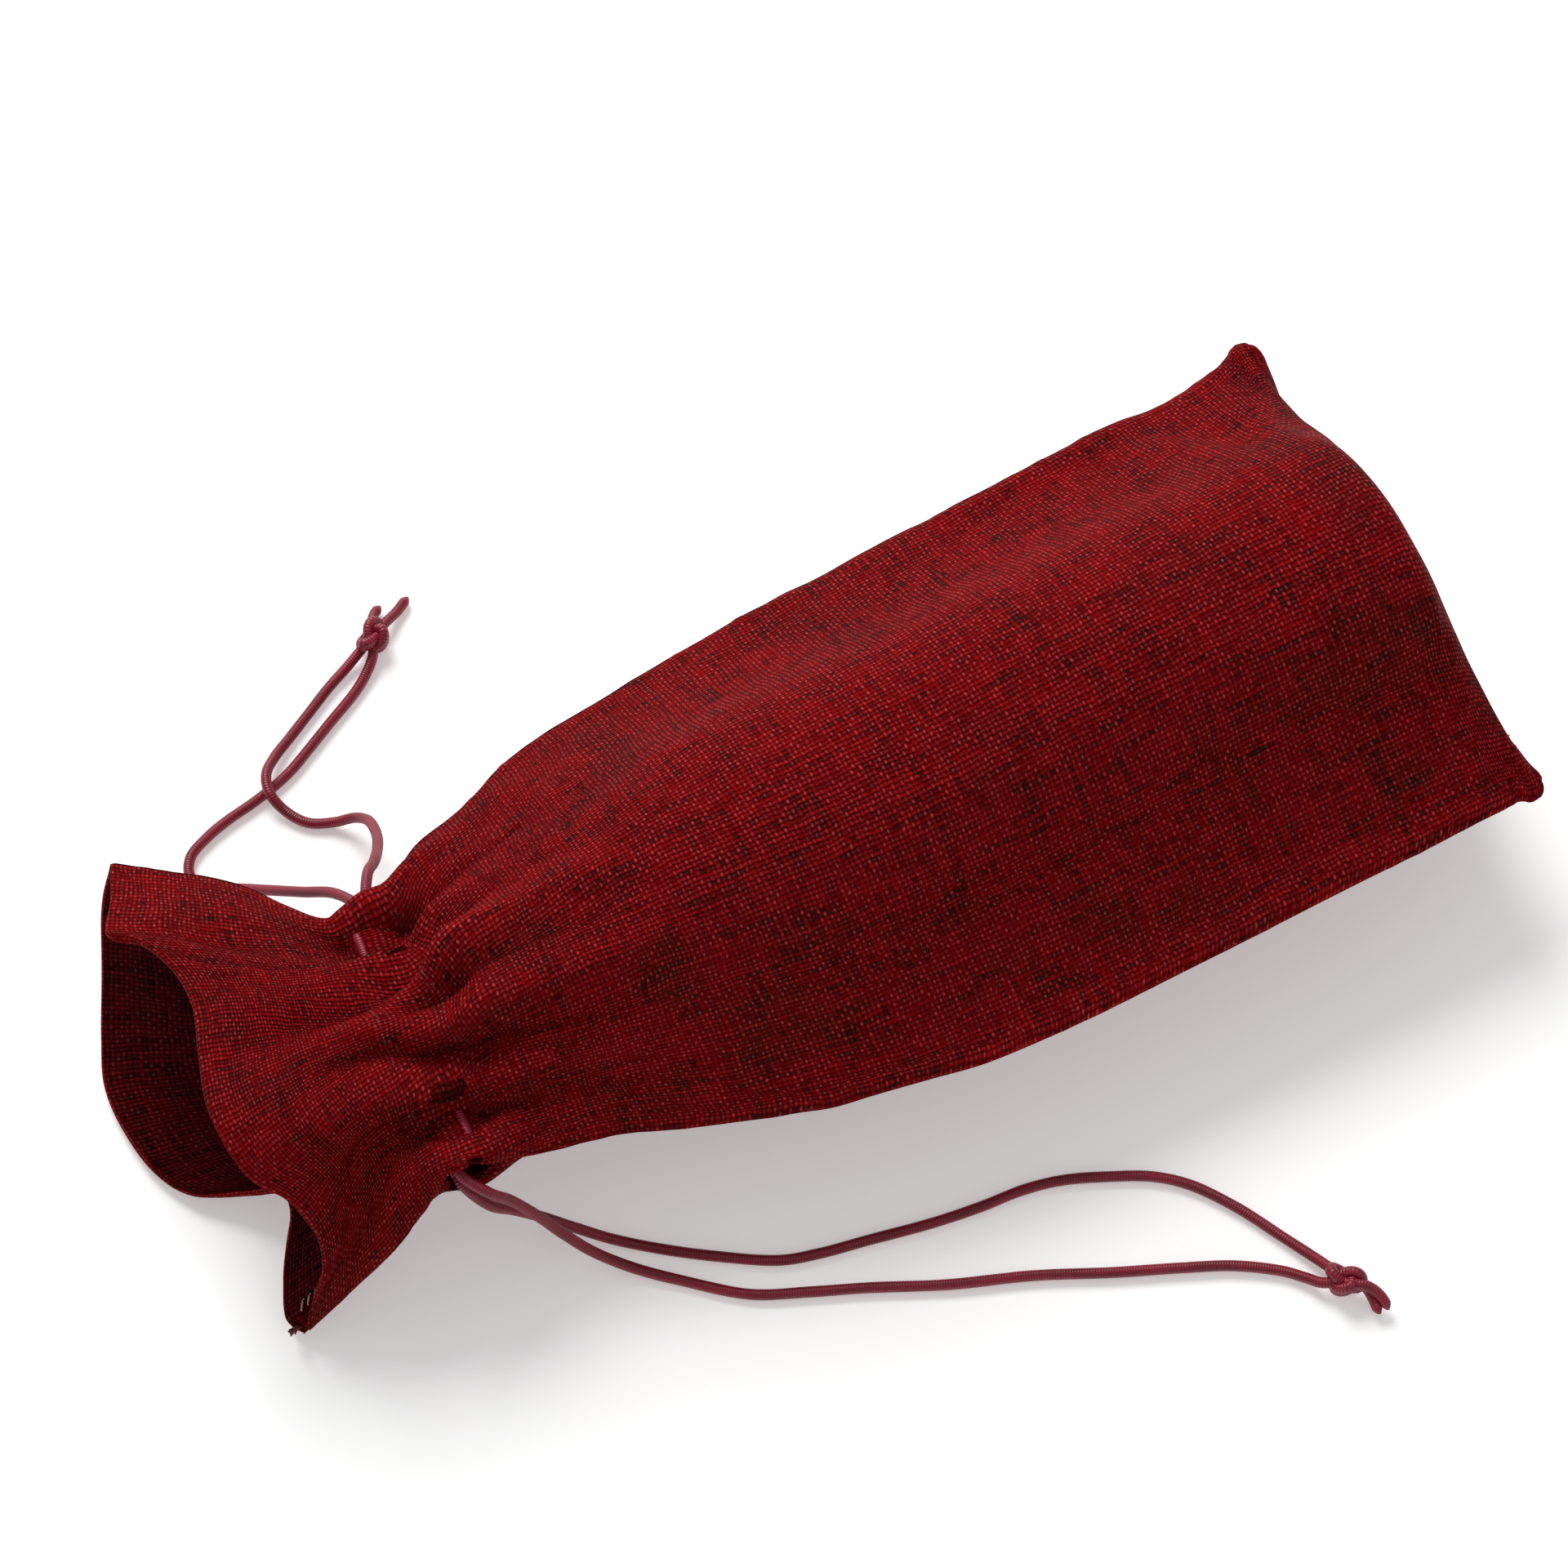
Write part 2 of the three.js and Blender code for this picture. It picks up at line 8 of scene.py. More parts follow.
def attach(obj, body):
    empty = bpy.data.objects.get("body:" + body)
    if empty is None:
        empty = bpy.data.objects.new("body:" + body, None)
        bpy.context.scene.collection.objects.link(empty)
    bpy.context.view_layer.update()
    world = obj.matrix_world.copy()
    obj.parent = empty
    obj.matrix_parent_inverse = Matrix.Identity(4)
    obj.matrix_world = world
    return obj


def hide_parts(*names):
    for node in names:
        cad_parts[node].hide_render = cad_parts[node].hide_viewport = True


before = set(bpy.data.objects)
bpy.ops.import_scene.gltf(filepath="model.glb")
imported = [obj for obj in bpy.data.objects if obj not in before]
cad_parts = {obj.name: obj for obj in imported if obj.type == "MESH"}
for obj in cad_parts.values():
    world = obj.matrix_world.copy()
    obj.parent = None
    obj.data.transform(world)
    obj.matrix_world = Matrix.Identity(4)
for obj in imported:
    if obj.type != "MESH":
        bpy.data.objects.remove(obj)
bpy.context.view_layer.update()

MM = 0.001

# ---- Sizes shared with the CAD model, in metres ----
SHIFT = np.array([3 * MM, 0, 0])  # the CAD group's own shift along the bag
CLOTH = 1.2 * MM  # thickness of one layer
HEM_CLOTH = 0.9 * MM
CORD = 2.6 * MM
AXIS_Y = -2.7 * MM
AXIS_Z = 38 * MM
NECK = np.array([-104.2, -1.5, 38]) * MM
NECK_YAW = math.radians(-5.3)
NECK_HALF = 35 * MM
CORD_OFFSET = 2.6 * MM  # each cord runs this far from the channel's middle
CORD_HEIGHT = 4.5 * MM  # and this far above or below the neck's middle where it turns back
RIB = 0.62 * MM  # distance between a cord's ribs
YARN = 1.15 * MM  # distance between yarns

# ---- The flat pattern of one panel, seen from the rim: across, and down its length ----
FLAT_WIDTH = 156 * MM
FLAT_LENGTH = 355 * MM
CHANNEL = 62 * MM  # middle of the channel, below the rim
STITCH_ROWS = (54.5 * MM, 69.5 * MM)
HEM_DEPTH = 73 * MM
COLUMNS = 64
ROWS = 142

# ---- Camera: the photograph's viewing angle ----
AZIMUTH = math.radians(-29)
ELEVATION = math.radians(63)
FIELD_OF_VIEW = math.radians(20)
DISTANCE = 1.05
TARGET = Vector((6.5, 18.75, 30)) * MM

FRONT = 1
BACK = -1

# ---- Routes of the free cords, as in the CAD model: in millimetres, before its shift ----
LYING = 1.5  # height of the middle of a cord that lies on the surface
CORDS = {
    "right": {
        "hand": -1,
        "front": [
            (-109, -39.8, 41.8), (-106, -42.6, 38.2), (-101.8, -44.2, 32), (-97.4, -46.8, 24),
            (-92.8, -50.6, 15), (-87.6, -55.4, 7.4), (-80.6, -61.8, 2.8), (-72, -69.6, LYING),
            (-60, -80, LYING), (-48, -86, LYING), (-36, -91.5, LYING), (-19, -100, LYING),
            (-1, -107.5, LYING), (16, -116, LYING), (30, -122.5, LYING), (41, -128, LYING),
            (50, -134.5, LYING), (53.6, -138.6, 2.1), (56, -141.9, 3.4),
        ],
        "back": [
            (-109.2, -39.6, 32.8), (-106, -41.8, 29), (-101.2, -43, 23), (-95.4, -44.8, 15.6),
            (-89, -48.2, 8.6), (-81.6, -53.4, 3.4), (-73, -60, LYING), (-63, -67.6, LYING),
            (-50, -76, LYING), (-41, -79, LYING), (-30, -81.5, LYING), (-15, -85, LYING),
            (-3, -87, LYING), (8, -88.2, LYING), (17, -90.5, LYING), (27, -95, LYING),
            (36, -100, LYING), (42.5, -106, LYING), (49, -116, LYING), (54.5, -127.5, LYING),
            (57.4, -134, 2), (59.2, -139.2, 3.4),
        ],
        "knot": (60.5, -144, 4.6),
        "knot_yaw": -0.9,
        "tails_twisted": True,
        "front_tail": [
            (62.4, -148.6, 3.6), (63.2, -152, 2.3), (62.8, -155.5, LYING),
        ],
        "back_tail": [
            (65, -146.5, 3.6), (66.6, -150, 2.3), (66.8, -153.5, LYING),
        ],
    },
    "left": {
        "hand": 1,
        "front": [
            (-97.2, 37.2, 42), (-94.4, 41, 39.2), (-91.2, 45, 34.8), (-88.4, 49.8, 29.4),
            (-86, 55.4, 23.4), (-84.4, 61.6, 17), (-84, 67.6, 10.6), (-85.8, 72.2, 5.2),
            (-90, 75, 2), (-95.5, 78.2, LYING), (-99, 83.5, 2.2), (-100.4, 88.5, 4.5),
            (-99, 93.2, 4.6), (-94.8, 97.6, 2.6), (-89, 101.2, LYING), (-82, 105, LYING),
            (-74, 109.3, LYING), (-68, 111.8, 2), (-63.8, 113.4, 3.2),
        ],
        "back": [
            (-98.2, 38.6, 32.8), (-101.4, 44.8, 28.4), (-107.4, 53.6, 19.6), (-116, 65, 9),
            (-122.5, 72.5, 3.4), (-126.6, 78.6, LYING), (-124.4, 83.4, LYING),
            (-118.5, 86.4, LYING), (-112, 88.2, LYING), (-105, 89.4, LYING), (-99, 90.8, LYING),
            (-93, 92.8, LYING), (-86.5, 96, LYING), (-79, 99.9, LYING), (-69, 105, LYING),
            (-64.6, 108, 2), (-61.4, 110.8, 3.2),
        ],
        "knot": (-59, 115, 4.6),
        "knot_yaw": 0.6,
        "tails_twisted": False,
        "front_tail": [
            (-57.2, 119.6, 3.4), (-55.4, 121.9, 2.2), (-53.2, 123.4, LYING),
        ],
        "back_tail": [
            (-54.7, 117.5, 3.4), (-50.4, 119.8, 2), (-46, 122.4, LYING),
        ],
    },
}
# A strand leaves the channel level through these distances, drawing in as it nears the gap.
LEG_STOPS = (19.8 * MM, 28 * MM, NECK_HALF)
LEG_HEIGHTS = (3.7 * MM, 3.2 * MM, 2.8 * MM)


def put_in_scene(name, data):
    made = bpy.data.objects.new(name, data)
    bpy.context.scene.collection.objects.link(made)
    return made


def mesh_from(name, vertices, faces):
    mesh = bpy.data.meshes.new(name)
    mesh.from_pydata([tuple(v) for v in vertices], [], faces)
    return mesh


# ---- Camera ----
def make_camera():
    data = bpy.data.cameras.new("camera")
    data.sensor_fit = "HORIZONTAL"
    data.angle = FIELD_OF_VIEW
    camera = put_in_scene("camera", data)
    away = Vector((
        math.sin(AZIMUTH) * math.cos(ELEVATION),
        -math.cos(AZIMUTH) * math.cos(ELEVATION),
        math.sin(ELEVATION),
    ))
    camera.location = TARGET + away * DISTANCE
    camera.rotation_mode = "QUATERNION"
    camera.rotation_quaternion = (-away).to_track_quat("-Z", "Y")
    bpy.context.scene.camera = camera


# ---- Node trees ----
class Nodes:
    """Short names for building a material's node tree."""

    def __init__(self, name):
        self.material = bpy.data.materials.new(name)
        self.material.use_nodes = True
        self.tree = self.material.node_tree
        self.shader = self.tree.nodes["Principled BSDF"]

    def link(self, source, socket):
        self.tree.links.new(source, socket)

    def _put(self, value, socket):
        if isinstance(value, bpy.types.NodeSocket):
            self.link(value, socket)
        else:
            socket.default_value = value

    def math(self, operation, a, b=0.0, c=0.0):
        node = self.tree.nodes.new("ShaderNodeMath")
        node.operation = operation
        for value, socket in zip((a, b, c), node.inputs):
            self._put(value, socket)
        return node.outputs[0]

    def vector(self, x, y, z=0.0):
        node = self.tree.nodes.new("ShaderNodeCombineXYZ")
        for value, socket in zip((x, y, z), node.inputs):
            self._put(value, socket)
        return node.outputs[0]

    def flat_place(self):
        """The place on the flat cloth or along the cord, in metres."""
        node = self.tree.nodes.new("ShaderNodeUVMap")
        node.uv_map = "flat"
        split = self.tree.nodes.new("ShaderNodeSeparateXYZ")
        self.link(node.outputs[0], split.inputs[0])
        return split.outputs[0], split.outputs[1]

    def noise(self, place, scale, detail=2.0, roughness=0.5):
        node = self.tree.nodes.new("ShaderNodeTexNoise")
        self.link(place, node.inputs["Vector"])
        node.inputs["Scale"].default_value = scale
        node.inputs["Detail"].default_value = detail
        node.inputs["Roughness"].default_value = roughness
        return node.outputs[0]

    def range(self, value, low, high, to_low=0.0, to_high=1.0):
        node = self.tree.nodes.new("ShaderNodeMapRange")
        for item, socket in zip((value, low, high, to_low, to_high), node.inputs):
            self._put(item, socket)
        return node.outputs[0]

    def mix(self, share, a, b, blend="MIX"):
        node = self.tree.nodes.new("ShaderNodeMix")
        node.data_type = "RGBA"
        node.blend_type = blend
        self._put(share, node.inputs[0])
        self._put(a, node.inputs[6])
        self._put(b, node.inputs[7])
        return node.outputs[2]

    def bump(self, height, distance, strength=1.0, normal=None):
        node = self.tree.nodes.new("ShaderNodeBump")
        node.inputs["Strength"].default_value = strength
        node.inputs["Distance"].default_value = distance
        self.link(height, node.inputs["Height"])
        if normal is not None:
            self.link(normal, node.inputs["Normal"])
        return node.outputs[0]


def colour(red, green, blue):
    """An sRGB colour, 0 to 255, as the linear RGBA that a shader takes."""
    linear = []
    for value in (red, green, blue):
        share = value / 255
        linear.append(share / 12.92 if share <= 0.04045 else ((share + 0.055) / 1.055) ** 2.4)
    return (*linear, 1.0)


CRIMSON = colour(138, 9, 14)
BURGUNDY = colour(78, 6, 10)
PINK_PAINTED_HIGHLIGHT = colour(196, 78, 84)
UMBER = colour(38, 20, 16)
GAP_PAINTED_SHADE = colour(9, 3, 3)


def cloth_material(name, painted_shade=1.0):
    """Plain weave of heathered crimson yarns: crossings stand up, some crests carry a painted
    highlight and the gaps between yarns carry painted shade. A darkening factor multiplies the whole
    colour as painted shade, for cloth in shadow.
    """
    n = Nodes(name)
    across, along = n.flat_place()
    warp_wander = n.range(n.noise(n.vector(across, along), 110.0, 3.0), 0.2, 0.8, -0.42, 0.42)
    weft_wander = n.range(n.noise(n.vector(along, across, 0.7), 110.0, 3.0), 0.2, 0.8, -0.42, 0.42)
    u = n.math("ADD", n.math("DIVIDE", across, YARN), warp_wander)
    v = n.math("ADD", n.math("DIVIDE", along, YARN), weft_wander)
    warp = n.math("FLOOR", u)
    weft = n.math("FLOOR", v)

    def profile(place):
        centred = n.math("SUBTRACT", n.math("MULTIPLY", n.math("FRACT", place), 2.0), 1.0)
        return n.math("SUBTRACT", 1.0, n.math("MULTIPLY", centred, centred))

    def over(place, yarn, phase):
        angle = n.math("MULTIPLY_ADD", n.math("ADD", place, yarn), math.pi, phase)
        return n.math("SINE", angle)

    warp_height = n.math("MULTIPLY_ADD", over(v, warp, 0.0), 0.42, profile(u))
    weft_height = n.math("MULTIPLY_ADD", over(u, weft, math.pi), 0.42, profile(v))
    height = n.math("MAXIMUM", warp_height, weft_height)
    warp_on_top = n.math("GREATER_THAN", warp_height, weft_height)

    # Each yarn changes colour slowly along its own length.
    stretch = 0.07
    warp_place = n.vector(n.math("MULTIPLY", warp, 1.7), n.math("MULTIPLY", v, stretch), 3.0)
    weft_place = n.vector(n.math("MULTIPLY", u, stretch), n.math("MULTIPLY", weft, 1.7), 11.0)
    warp_shade = n.noise(warp_place, 1.0, 2.0, 0.6)
    weft_shade = n.noise(weft_place, 1.0, 2.0, 0.6)
    shade_mix = n.mix(warp_on_top, weft_shade, warp_shade)
    crossing = n.noise(n.vector(warp, weft, 5.0), 0.9, 1.0)
    cloudy = n.noise(n.vector(across, along, 0.3), 38.0, 3.0, 0.6)

    yarn_colour = n.mix(n.range(shade_mix, 0.34, 0.62), BURGUNDY, CRIMSON)
    fleck = n.range(n.math("ADD", shade_mix, n.math("MULTIPLY", crossing, 0.07)), 0.45, 0.38)
    yarn_colour = n.mix(n.math("MULTIPLY", fleck, 0.6), yarn_colour, UMBER)
    cloud = n.range(cloudy, 0.5, 0.7, 0.0, 0.35)
    yarn_colour = n.mix(cloud, yarn_colour, UMBER)
    # Painted highlight: the highest crests, mostly where the weft lies on top, are mixed towards pale
    # pink for light catching them.
    crest = n.range(height, 1.05, 1.4)
    lit = n.math("MULTIPLY", n.range(crossing, 0.36, 0.6), n.range(warp_on_top, 1.0, 0.0, 0.3, 1.0))
    bright = n.math("MULTIPLY", crest, lit)
    yarn_colour = n.mix(n.math("MULTIPLY", bright, 0.7), yarn_colour, PINK_PAINTED_HIGHLIGHT)
    # Painted shade: the low gaps between yarns are mixed towards near black for the shade that falls
    # in them.
    gap = n.range(height, 0.7, 0.2, 0.0, 0.85)
    body_colour = n.mix(gap, yarn_colour, GAP_PAINTED_SHADE)
    # Painted shade: the whole colour is multiplied by the given darkening, for cloth that lies in
    # shadow.
    body_colour = n.mix(1.0, body_colour, (painted_shade, painted_shade, painted_shade, 1.0), "MULTIPLY")

    fibres = n.noise(n.vector(n.math("MULTIPLY", u, 5.0), n.math("MULTIPLY", v, 5.0)), 1.0, 2.0)
    fuzzy = n.bump(fibres, 0.08 * MM, 0.6)
    raised = n.bump(height, 0.38 * MM, 1.0, fuzzy)
    n.link(body_colour, n.shader.inputs["Base Color"])
    n.link(raised, n.shader.inputs["Normal"])
    n.link(n.range(height, 0.6, 1.4, 0.85, 0.5), n.shader.inputs["Roughness"])
    n.shader.inputs["Specular IOR Level"].default_value = 0.02
    return n.material


def cord_material():
    """Satin rattail: a smooth bright face with fine ribs across it, painted darker in their grooves
    as shade.
    """
    n = Nodes("satin_cord")
    along, around = n.flat_place()
    rib = n.math("SINE", n.math("MULTIPLY_ADD", along, math.tau / RIB, around))
    streak = n.noise(n.vector(n.math("MULTIPLY", along, 60.0), around), 1.0, 2.0)
    base = n.mix(n.range(streak, 0.3, 0.7), colour(118, 8, 32), colour(170, 22, 56))
    # Painted shade: the grooves between the ribs are mixed towards dark wine.
    base = n.mix(n.range(rib, -1.0, 0.2, 0.6, 0.0), base, colour(54, 2, 16))
    n.link(base, n.shader.inputs["Base Color"])
    n.link(n.range(rib, -1.0, 1.0, 0.5, 0.3), n.shader.inputs["Roughness"])
    n.link(n.bump(rib, 0.06 * MM, 0.7), n.shader.inputs["Normal"])
    n.shader.inputs["Specular IOR Level"].default_value = 0.5
    n.shader.inputs["Sheen Weight"].default_value = 0.1
    n.shader.inputs["Sheen Roughness"].default_value = 0.3
    n.shader.inputs["Sheen Tint"].default_value = colour(230, 110, 150)
    return n.material


def thread_material(name, dark, light):
    """Twisted sewing thread, with painted shade in the grooves of its twist and a painted highlight
    on its ridges.
    """
    n = Nodes(name)
    along, around = n.flat_place()
    twist = n.math("SINE", n.math("MULTIPLY_ADD", along, math.tau / (0.5 * MM), around))
    # Painted shade and highlight: the dark colour lies in the twist's grooves and the light one on
    # its ridges.
    base = n.mix(n.range(twist, -1.0, 1.0), dark, light)
    n.link(base, n.shader.inputs["Base Color"])
    n.link(n.bump(twist, 0.05 * MM, 0.8), n.shader.inputs["Normal"])
    n.shader.inputs["Roughness"].default_value = 0.6
    return n.material


def floor_material():
    """A translucent white table with a little light of its own."""
    n = Nodes("pale_floor")
    place = n.tree.nodes.new("ShaderNodeTexCoord").outputs["Object"]
    faint = n.noise(place, 3.0, 2.0)
    n.link(n.mix(faint, colour(250, 250, 250), colour(253, 253, 252)), n.shader.inputs["Base Color"])
    n.shader.inputs["Roughness"].default_value = 0.7
    n.shader.inputs["Specular IOR Level"].default_value = 0.1
    n.shader.inputs["Emission Color"].default_value = (1, 1, 1, 1)
    n.shader.inputs["Emission Strength"].default_value = 0.3
    return n.material


# ---- Curves ----
def catmull_rom(points, samples_per_span=16):
    """A centripetal Catmull-Rom curve through the points, as three.js draws it."""
    given = [np.array(p, float) for p in points]
    first = 2 * given[0] - given[1]
    last = 2 * given[-1] - given[-2]
    knots = [first, *given, last]
    out = []
    for i in range(1, len(knots) - 2):
        p0, p1, p2, p3 = knots[i - 1 : i + 3]
        d0 = max(np.linalg.norm(p1 - p0), 1e-9) ** 0.5
        d1 = max(np.linalg.norm(p2 - p1), 1e-9) ** 0.5
        d2 = max(np.linalg.norm(p3 - p2), 1e-9) ** 0.5
        m1 = (p1 - p0) / d0 - (p2 - p0) / (d0 + d1) + (p2 - p1) / d1
        m2 = (p2 - p1) / d1 - (p3 - p1) / (d1 + d2) + (p3 - p2) / d2
        m1 = m1 * d1
        m2 = m2 * d1
        for k in range(samples_per_span):
            t = k / samples_per_span
            out.append(
                p1
                + m1 * t
                + (-3 * p1 + 3 * p2 - 2 * m1 - m2) * t**2
                + (2 * p1 - 2 * p2 + m1 + m2) * t**3
            )
    out.append(given[-1])
    return np.array(out)


def curve_in_mm(points):
    """A smooth curve through points in millimetres, as metres."""
    return catmull_rom(np.array(points) * MM)


def resample(points, count):
    """The polyline as count points at equal distances along it."""
    steps = np.linalg.norm(np.diff(points, axis=0), axis=1)
    travelled = np.concatenate([[0], np.cumsum(steps)])
    wanted = np.linspace(0, travelled[-1], count)
    return np.stack([np.interp(wanted, travelled, points[:, k]) for k in range(3)], axis=1)


def length_of(points):
    return float(np.linalg.norm(np.diff(points, axis=0), axis=1).sum())


def neck_point(along, across, up):
    """A place in the neck's own frame, before the shift."""
    cos, sin = math.cos(NECK_YAW), math.sin(NECK_YAW)
    turned = np.array([cos * along - sin * across, sin * along + cos * across, up])
    return NECK + turned


def smooth_step(value, low, high):
    t = np.clip((value - low) / (high - low), 0, 1)
    return t * t * (3 - 2 * t)


# ---- Meshes ----
def mesh_object(name, vertices, faces, material, uvs=None):
    """Vertices are given before the shift. uvs holds one flat place for each face corner."""
    mesh = mesh_from(name, np.asarray(vertices) + SHIFT, faces)
    if uvs is not None:
        layer = mesh.uv_layers.new(name="flat")
        layer.data.foreach_set("uv", np.asarray(uvs, np.float32).ravel())
    mesh.shade_smooth()
    mesh.materials.append(material)
    return put_in_scene(name, mesh)


def tube_parts(path, radius, sides, first_vertex=0):
    """The vertices, faces and flat places of a tube along the path, closed at both ends."""
    count = len(path)
    radii = np.broadcast_to(radius, count)
    tangents = np.gradient(path, axis=0)
    tangents /= np.linalg.norm(tangents, axis=1)[:, None]
    side = np.cross(tangents[0], [0, 0, 1.0])
    if np.linalg.norm(side) < 0.1:
        side = np.cross(tangents[0], [1.0, 0, 0])
    side /= np.linalg.norm(side)
    vertices, travelled = [], [0.0]
    for i in range(count):
        side = side - tangents[i] * side.dot(tangents[i])
        side /= np.linalg.norm(side)
        other = np.cross(tangents[i], side)
        if i:
            travelled.append(travelled[-1] + np.linalg.norm(path[i] - path[i - 1]))
        for k in range(sides):
            angle = math.tau * k / sides
            turned = math.cos(angle) * side + math.sin(angle) * other
            vertices.append(path[i] + radii[i] * turned)
    faces, uvs = [], []
    for i in range(count - 1):
        for k in range(sides):
            low, high = i * sides, (i + 1) * sides
            nxt = (k + 1) % sides
            faces.append((low + k, low + nxt, high + nxt, high + k))
            start, stop = math.tau * k / sides, math.tau * (k + 1) / sides
            uvs += [(travelled[i], start), (travelled[i], stop)]
            uvs += [(travelled[i + 1], stop), (travelled[i + 1], start)]
    for row, turn in ((0, -1), (count - 1, 1)):
        ring = [row * sides + k for k in range(sides)][::turn]
        centre = len(vertices)
        vertices.append(path[row])
        for k in range(sides):
            faces.append((ring[k], ring[(k + 1) % sides], centre))
            uvs += [(travelled[row], 0.0)] * 3
    faces = [tuple(k + first_vertex for k in face) for face in faces]
    return vertices, faces, uvs


def tubes_mesh(name, tubes, material, sides=14):
    """One object from several tubes, each a path and its radius."""
    vertices, faces, uvs = [], [], []
    for path, radius in tubes:
        more = tube_parts(path, radius, sides, len(vertices))
        vertices += more[0]
        faces += more[1]
        uvs += more[2]
    return mesh_object(name, vertices, faces, material, uvs)


# ---- Cords ----
RIB_SAMPLES = 3


def ribbed(path):
    """The path close enough together to carry ribs, and the radius at each point."""
    count = int(length_of(path) / RIB * RIB_SAMPLES)
    fine = resample(path, count)
    turns = np.arange(count) * math.tau / RIB_SAMPLES
    slow = np.array([noise.noise(Vector(p * 160)) for p in fine])
    return fine, CORD / 2 * (1 + 0.02 * np.cos(turns) + 0.03 * slow)


def make_strand(name, cord, which, material):
    hand = cord["hand"]
    up = FRONT if which == "front" else BACK
    leg = [
        neck_point(hand * CORD_OFFSET, hand * out, up * height)
        for out, height in zip(LEG_STOPS, LEG_HEIGHTS)
    ]
    free = np.array([*cord[which][1:], cord["knot"]]) * MM
    path = catmull_rom([*leg, *free])
    exit_point = leg[-1]
    fine, radius = ribbed(path)
    return tubes_mesh(name, [(fine, radius)], material), fine, exit_point


KNOT_SCALE = 1.12 * MM
KNOT_SPREAD = 0.55  # the two strands lie this far above and below the knot's own line
KNOT_LAG = 0.22  # and the lower one this far along it, in radians
KNOT_LONG, KNOT_NARROW, KNOT_TALL = 1.25, 0.82, 1.15  # the trefoil drawn out three ways


def make_knot(name, cord, material):
    """An overhand knot tied in both strands together and pulled tight."""
    yaw = cord["knot_yaw"]
    cos, sin = math.cos(yaw), math.sin(yaw)
    turn = np.array([[cos, -sin, 0], [sin, cos, 0], [0, 0, 1]])
    centre = np.array(cord["knot"]) * MM
    tubes = []
    for strand in (0, 1):
        angle = np.linspace(0, math.tau, 121) + strand * KNOT_LAG
        lift = KNOT_SPREAD * (1 - 2 * strand)
        line = np.stack([
            KNOT_LONG * (np.sin(angle) + 2 * np.sin(2 * angle)),
            KNOT_NARROW * (np.cos(angle) - 2 * np.cos(2 * angle)),
            -KNOT_TALL * np.sin(3 * angle) + lift,
        ], axis=1) * KNOT_SCALE
        tubes.append(ribbed(line @ turn.T + centre))
    return tubes_mesh(name, tubes, material)


TWIST_RADIUS = 1.1 * MM
SEALED = 1.6 * MM  # length of a tail's melted end


def tail_path(cord, which):
    """Its own way from the knot, or wound half a turn round the other tail."""
    own = curve_in_mm([cord["knot"], *cord[which]])
    if not cord["tails_twisted"]:
        return own
    other = "back_tail" if which == "front_tail" else "front_tail"
    both = [own, curve_in_mm([cord["knot"], *cord[other]])]
    middle = sum(resample(path, len(own)) for path in both) / 2
    away = np.cross(np.gradient(middle, axis=0), [0, 0, 1.0])
    away /= np.linalg.norm(away, axis=1)[:, None]
    turn = np.linspace(0, math.pi, len(middle)) + (0 if which == "front_tail" else math.pi)
    wound = away * np.cos(turn)[:, None] + np.array([0, 0, 1.0]) * (1 + np.sin(turn))[:, None]
    return middle + wound * TWIST_RADIUS


def make_tail(name, cord, which, material):
    """A tail beyond the knot: its end is sealed with heat into a small bead."""
    fine, radius = ribbed(tail_path(cord, which))
    to_end = length_of(fine) * (1 - np.linspace(0, 1, len(fine)))
    radius = radius * np.sqrt(np.clip(to_end / SEALED, 0.05, 1))
    return tubes_mesh(name, [(fine, radius)], material)


def make_cords(material):
    for hand_name, cord in CORDS.items():
        body = f"{hand_name}_drawstring"
        knot = make_knot(f"{hand_name}_knot_tied", cord, material)
        tails = []
        for which in ("front_tail", "back_tail"):
            tail = make_tail(f"{hand_name}_{which}_end", cord, which, material)
            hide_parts(f"{hand_name}_{which}")
            tails.append(tail)
        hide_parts(f"{hand_name}_knot")
        for piece in (knot, *tails):
            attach(piece, body)
        for which in ("front", "back"):
            name = f"{hand_name}_{which}_strand"
            piece, path, exit_point = make_strand(f"{name}_satin", cord, which, material)
            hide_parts(name)
            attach(piece, body)


make_camera()
satin = cord_material()
make_cords(satin)

# ---- The bag's cloth ----
# The rims' points are rounded millimetres, before the shift. They were set against the photo
# with the camera's geometry and then moved until both ears and the notch looked right.
FRONT_RIM = np.array([
    (-145, 73, 38), (-150, 62, 42), (-155, 52, 46), (-150, 46, 48), (-146, 35, 50),
    (-146, 24, 52), (-150, 12, 54), (-154, -2, 55), (-153, -18, 50), (-147, -24, 42),
    (-145, -28, 37), (-144, -32, 30), (-146, -36, 20), (-149, -37, 14), (-154, -40, 3),
]) * MM
BACK_RIM = np.array([
    (-145, 73, 38), (-150, 70, 30), (-158, 59, 14), (-164, 49, 6), (-168, 40, 2),
    (-169, 26, 1.3), (-167, 13, 1.3), (-162, 3, 2.5), (-152, -5, 8), (-145, -11, 14),
    (-145, -16, 16), (-149, -21, 10), (-153, -28, 6), (-156, -36, 3), (-154, -40, 3),
]) * MM

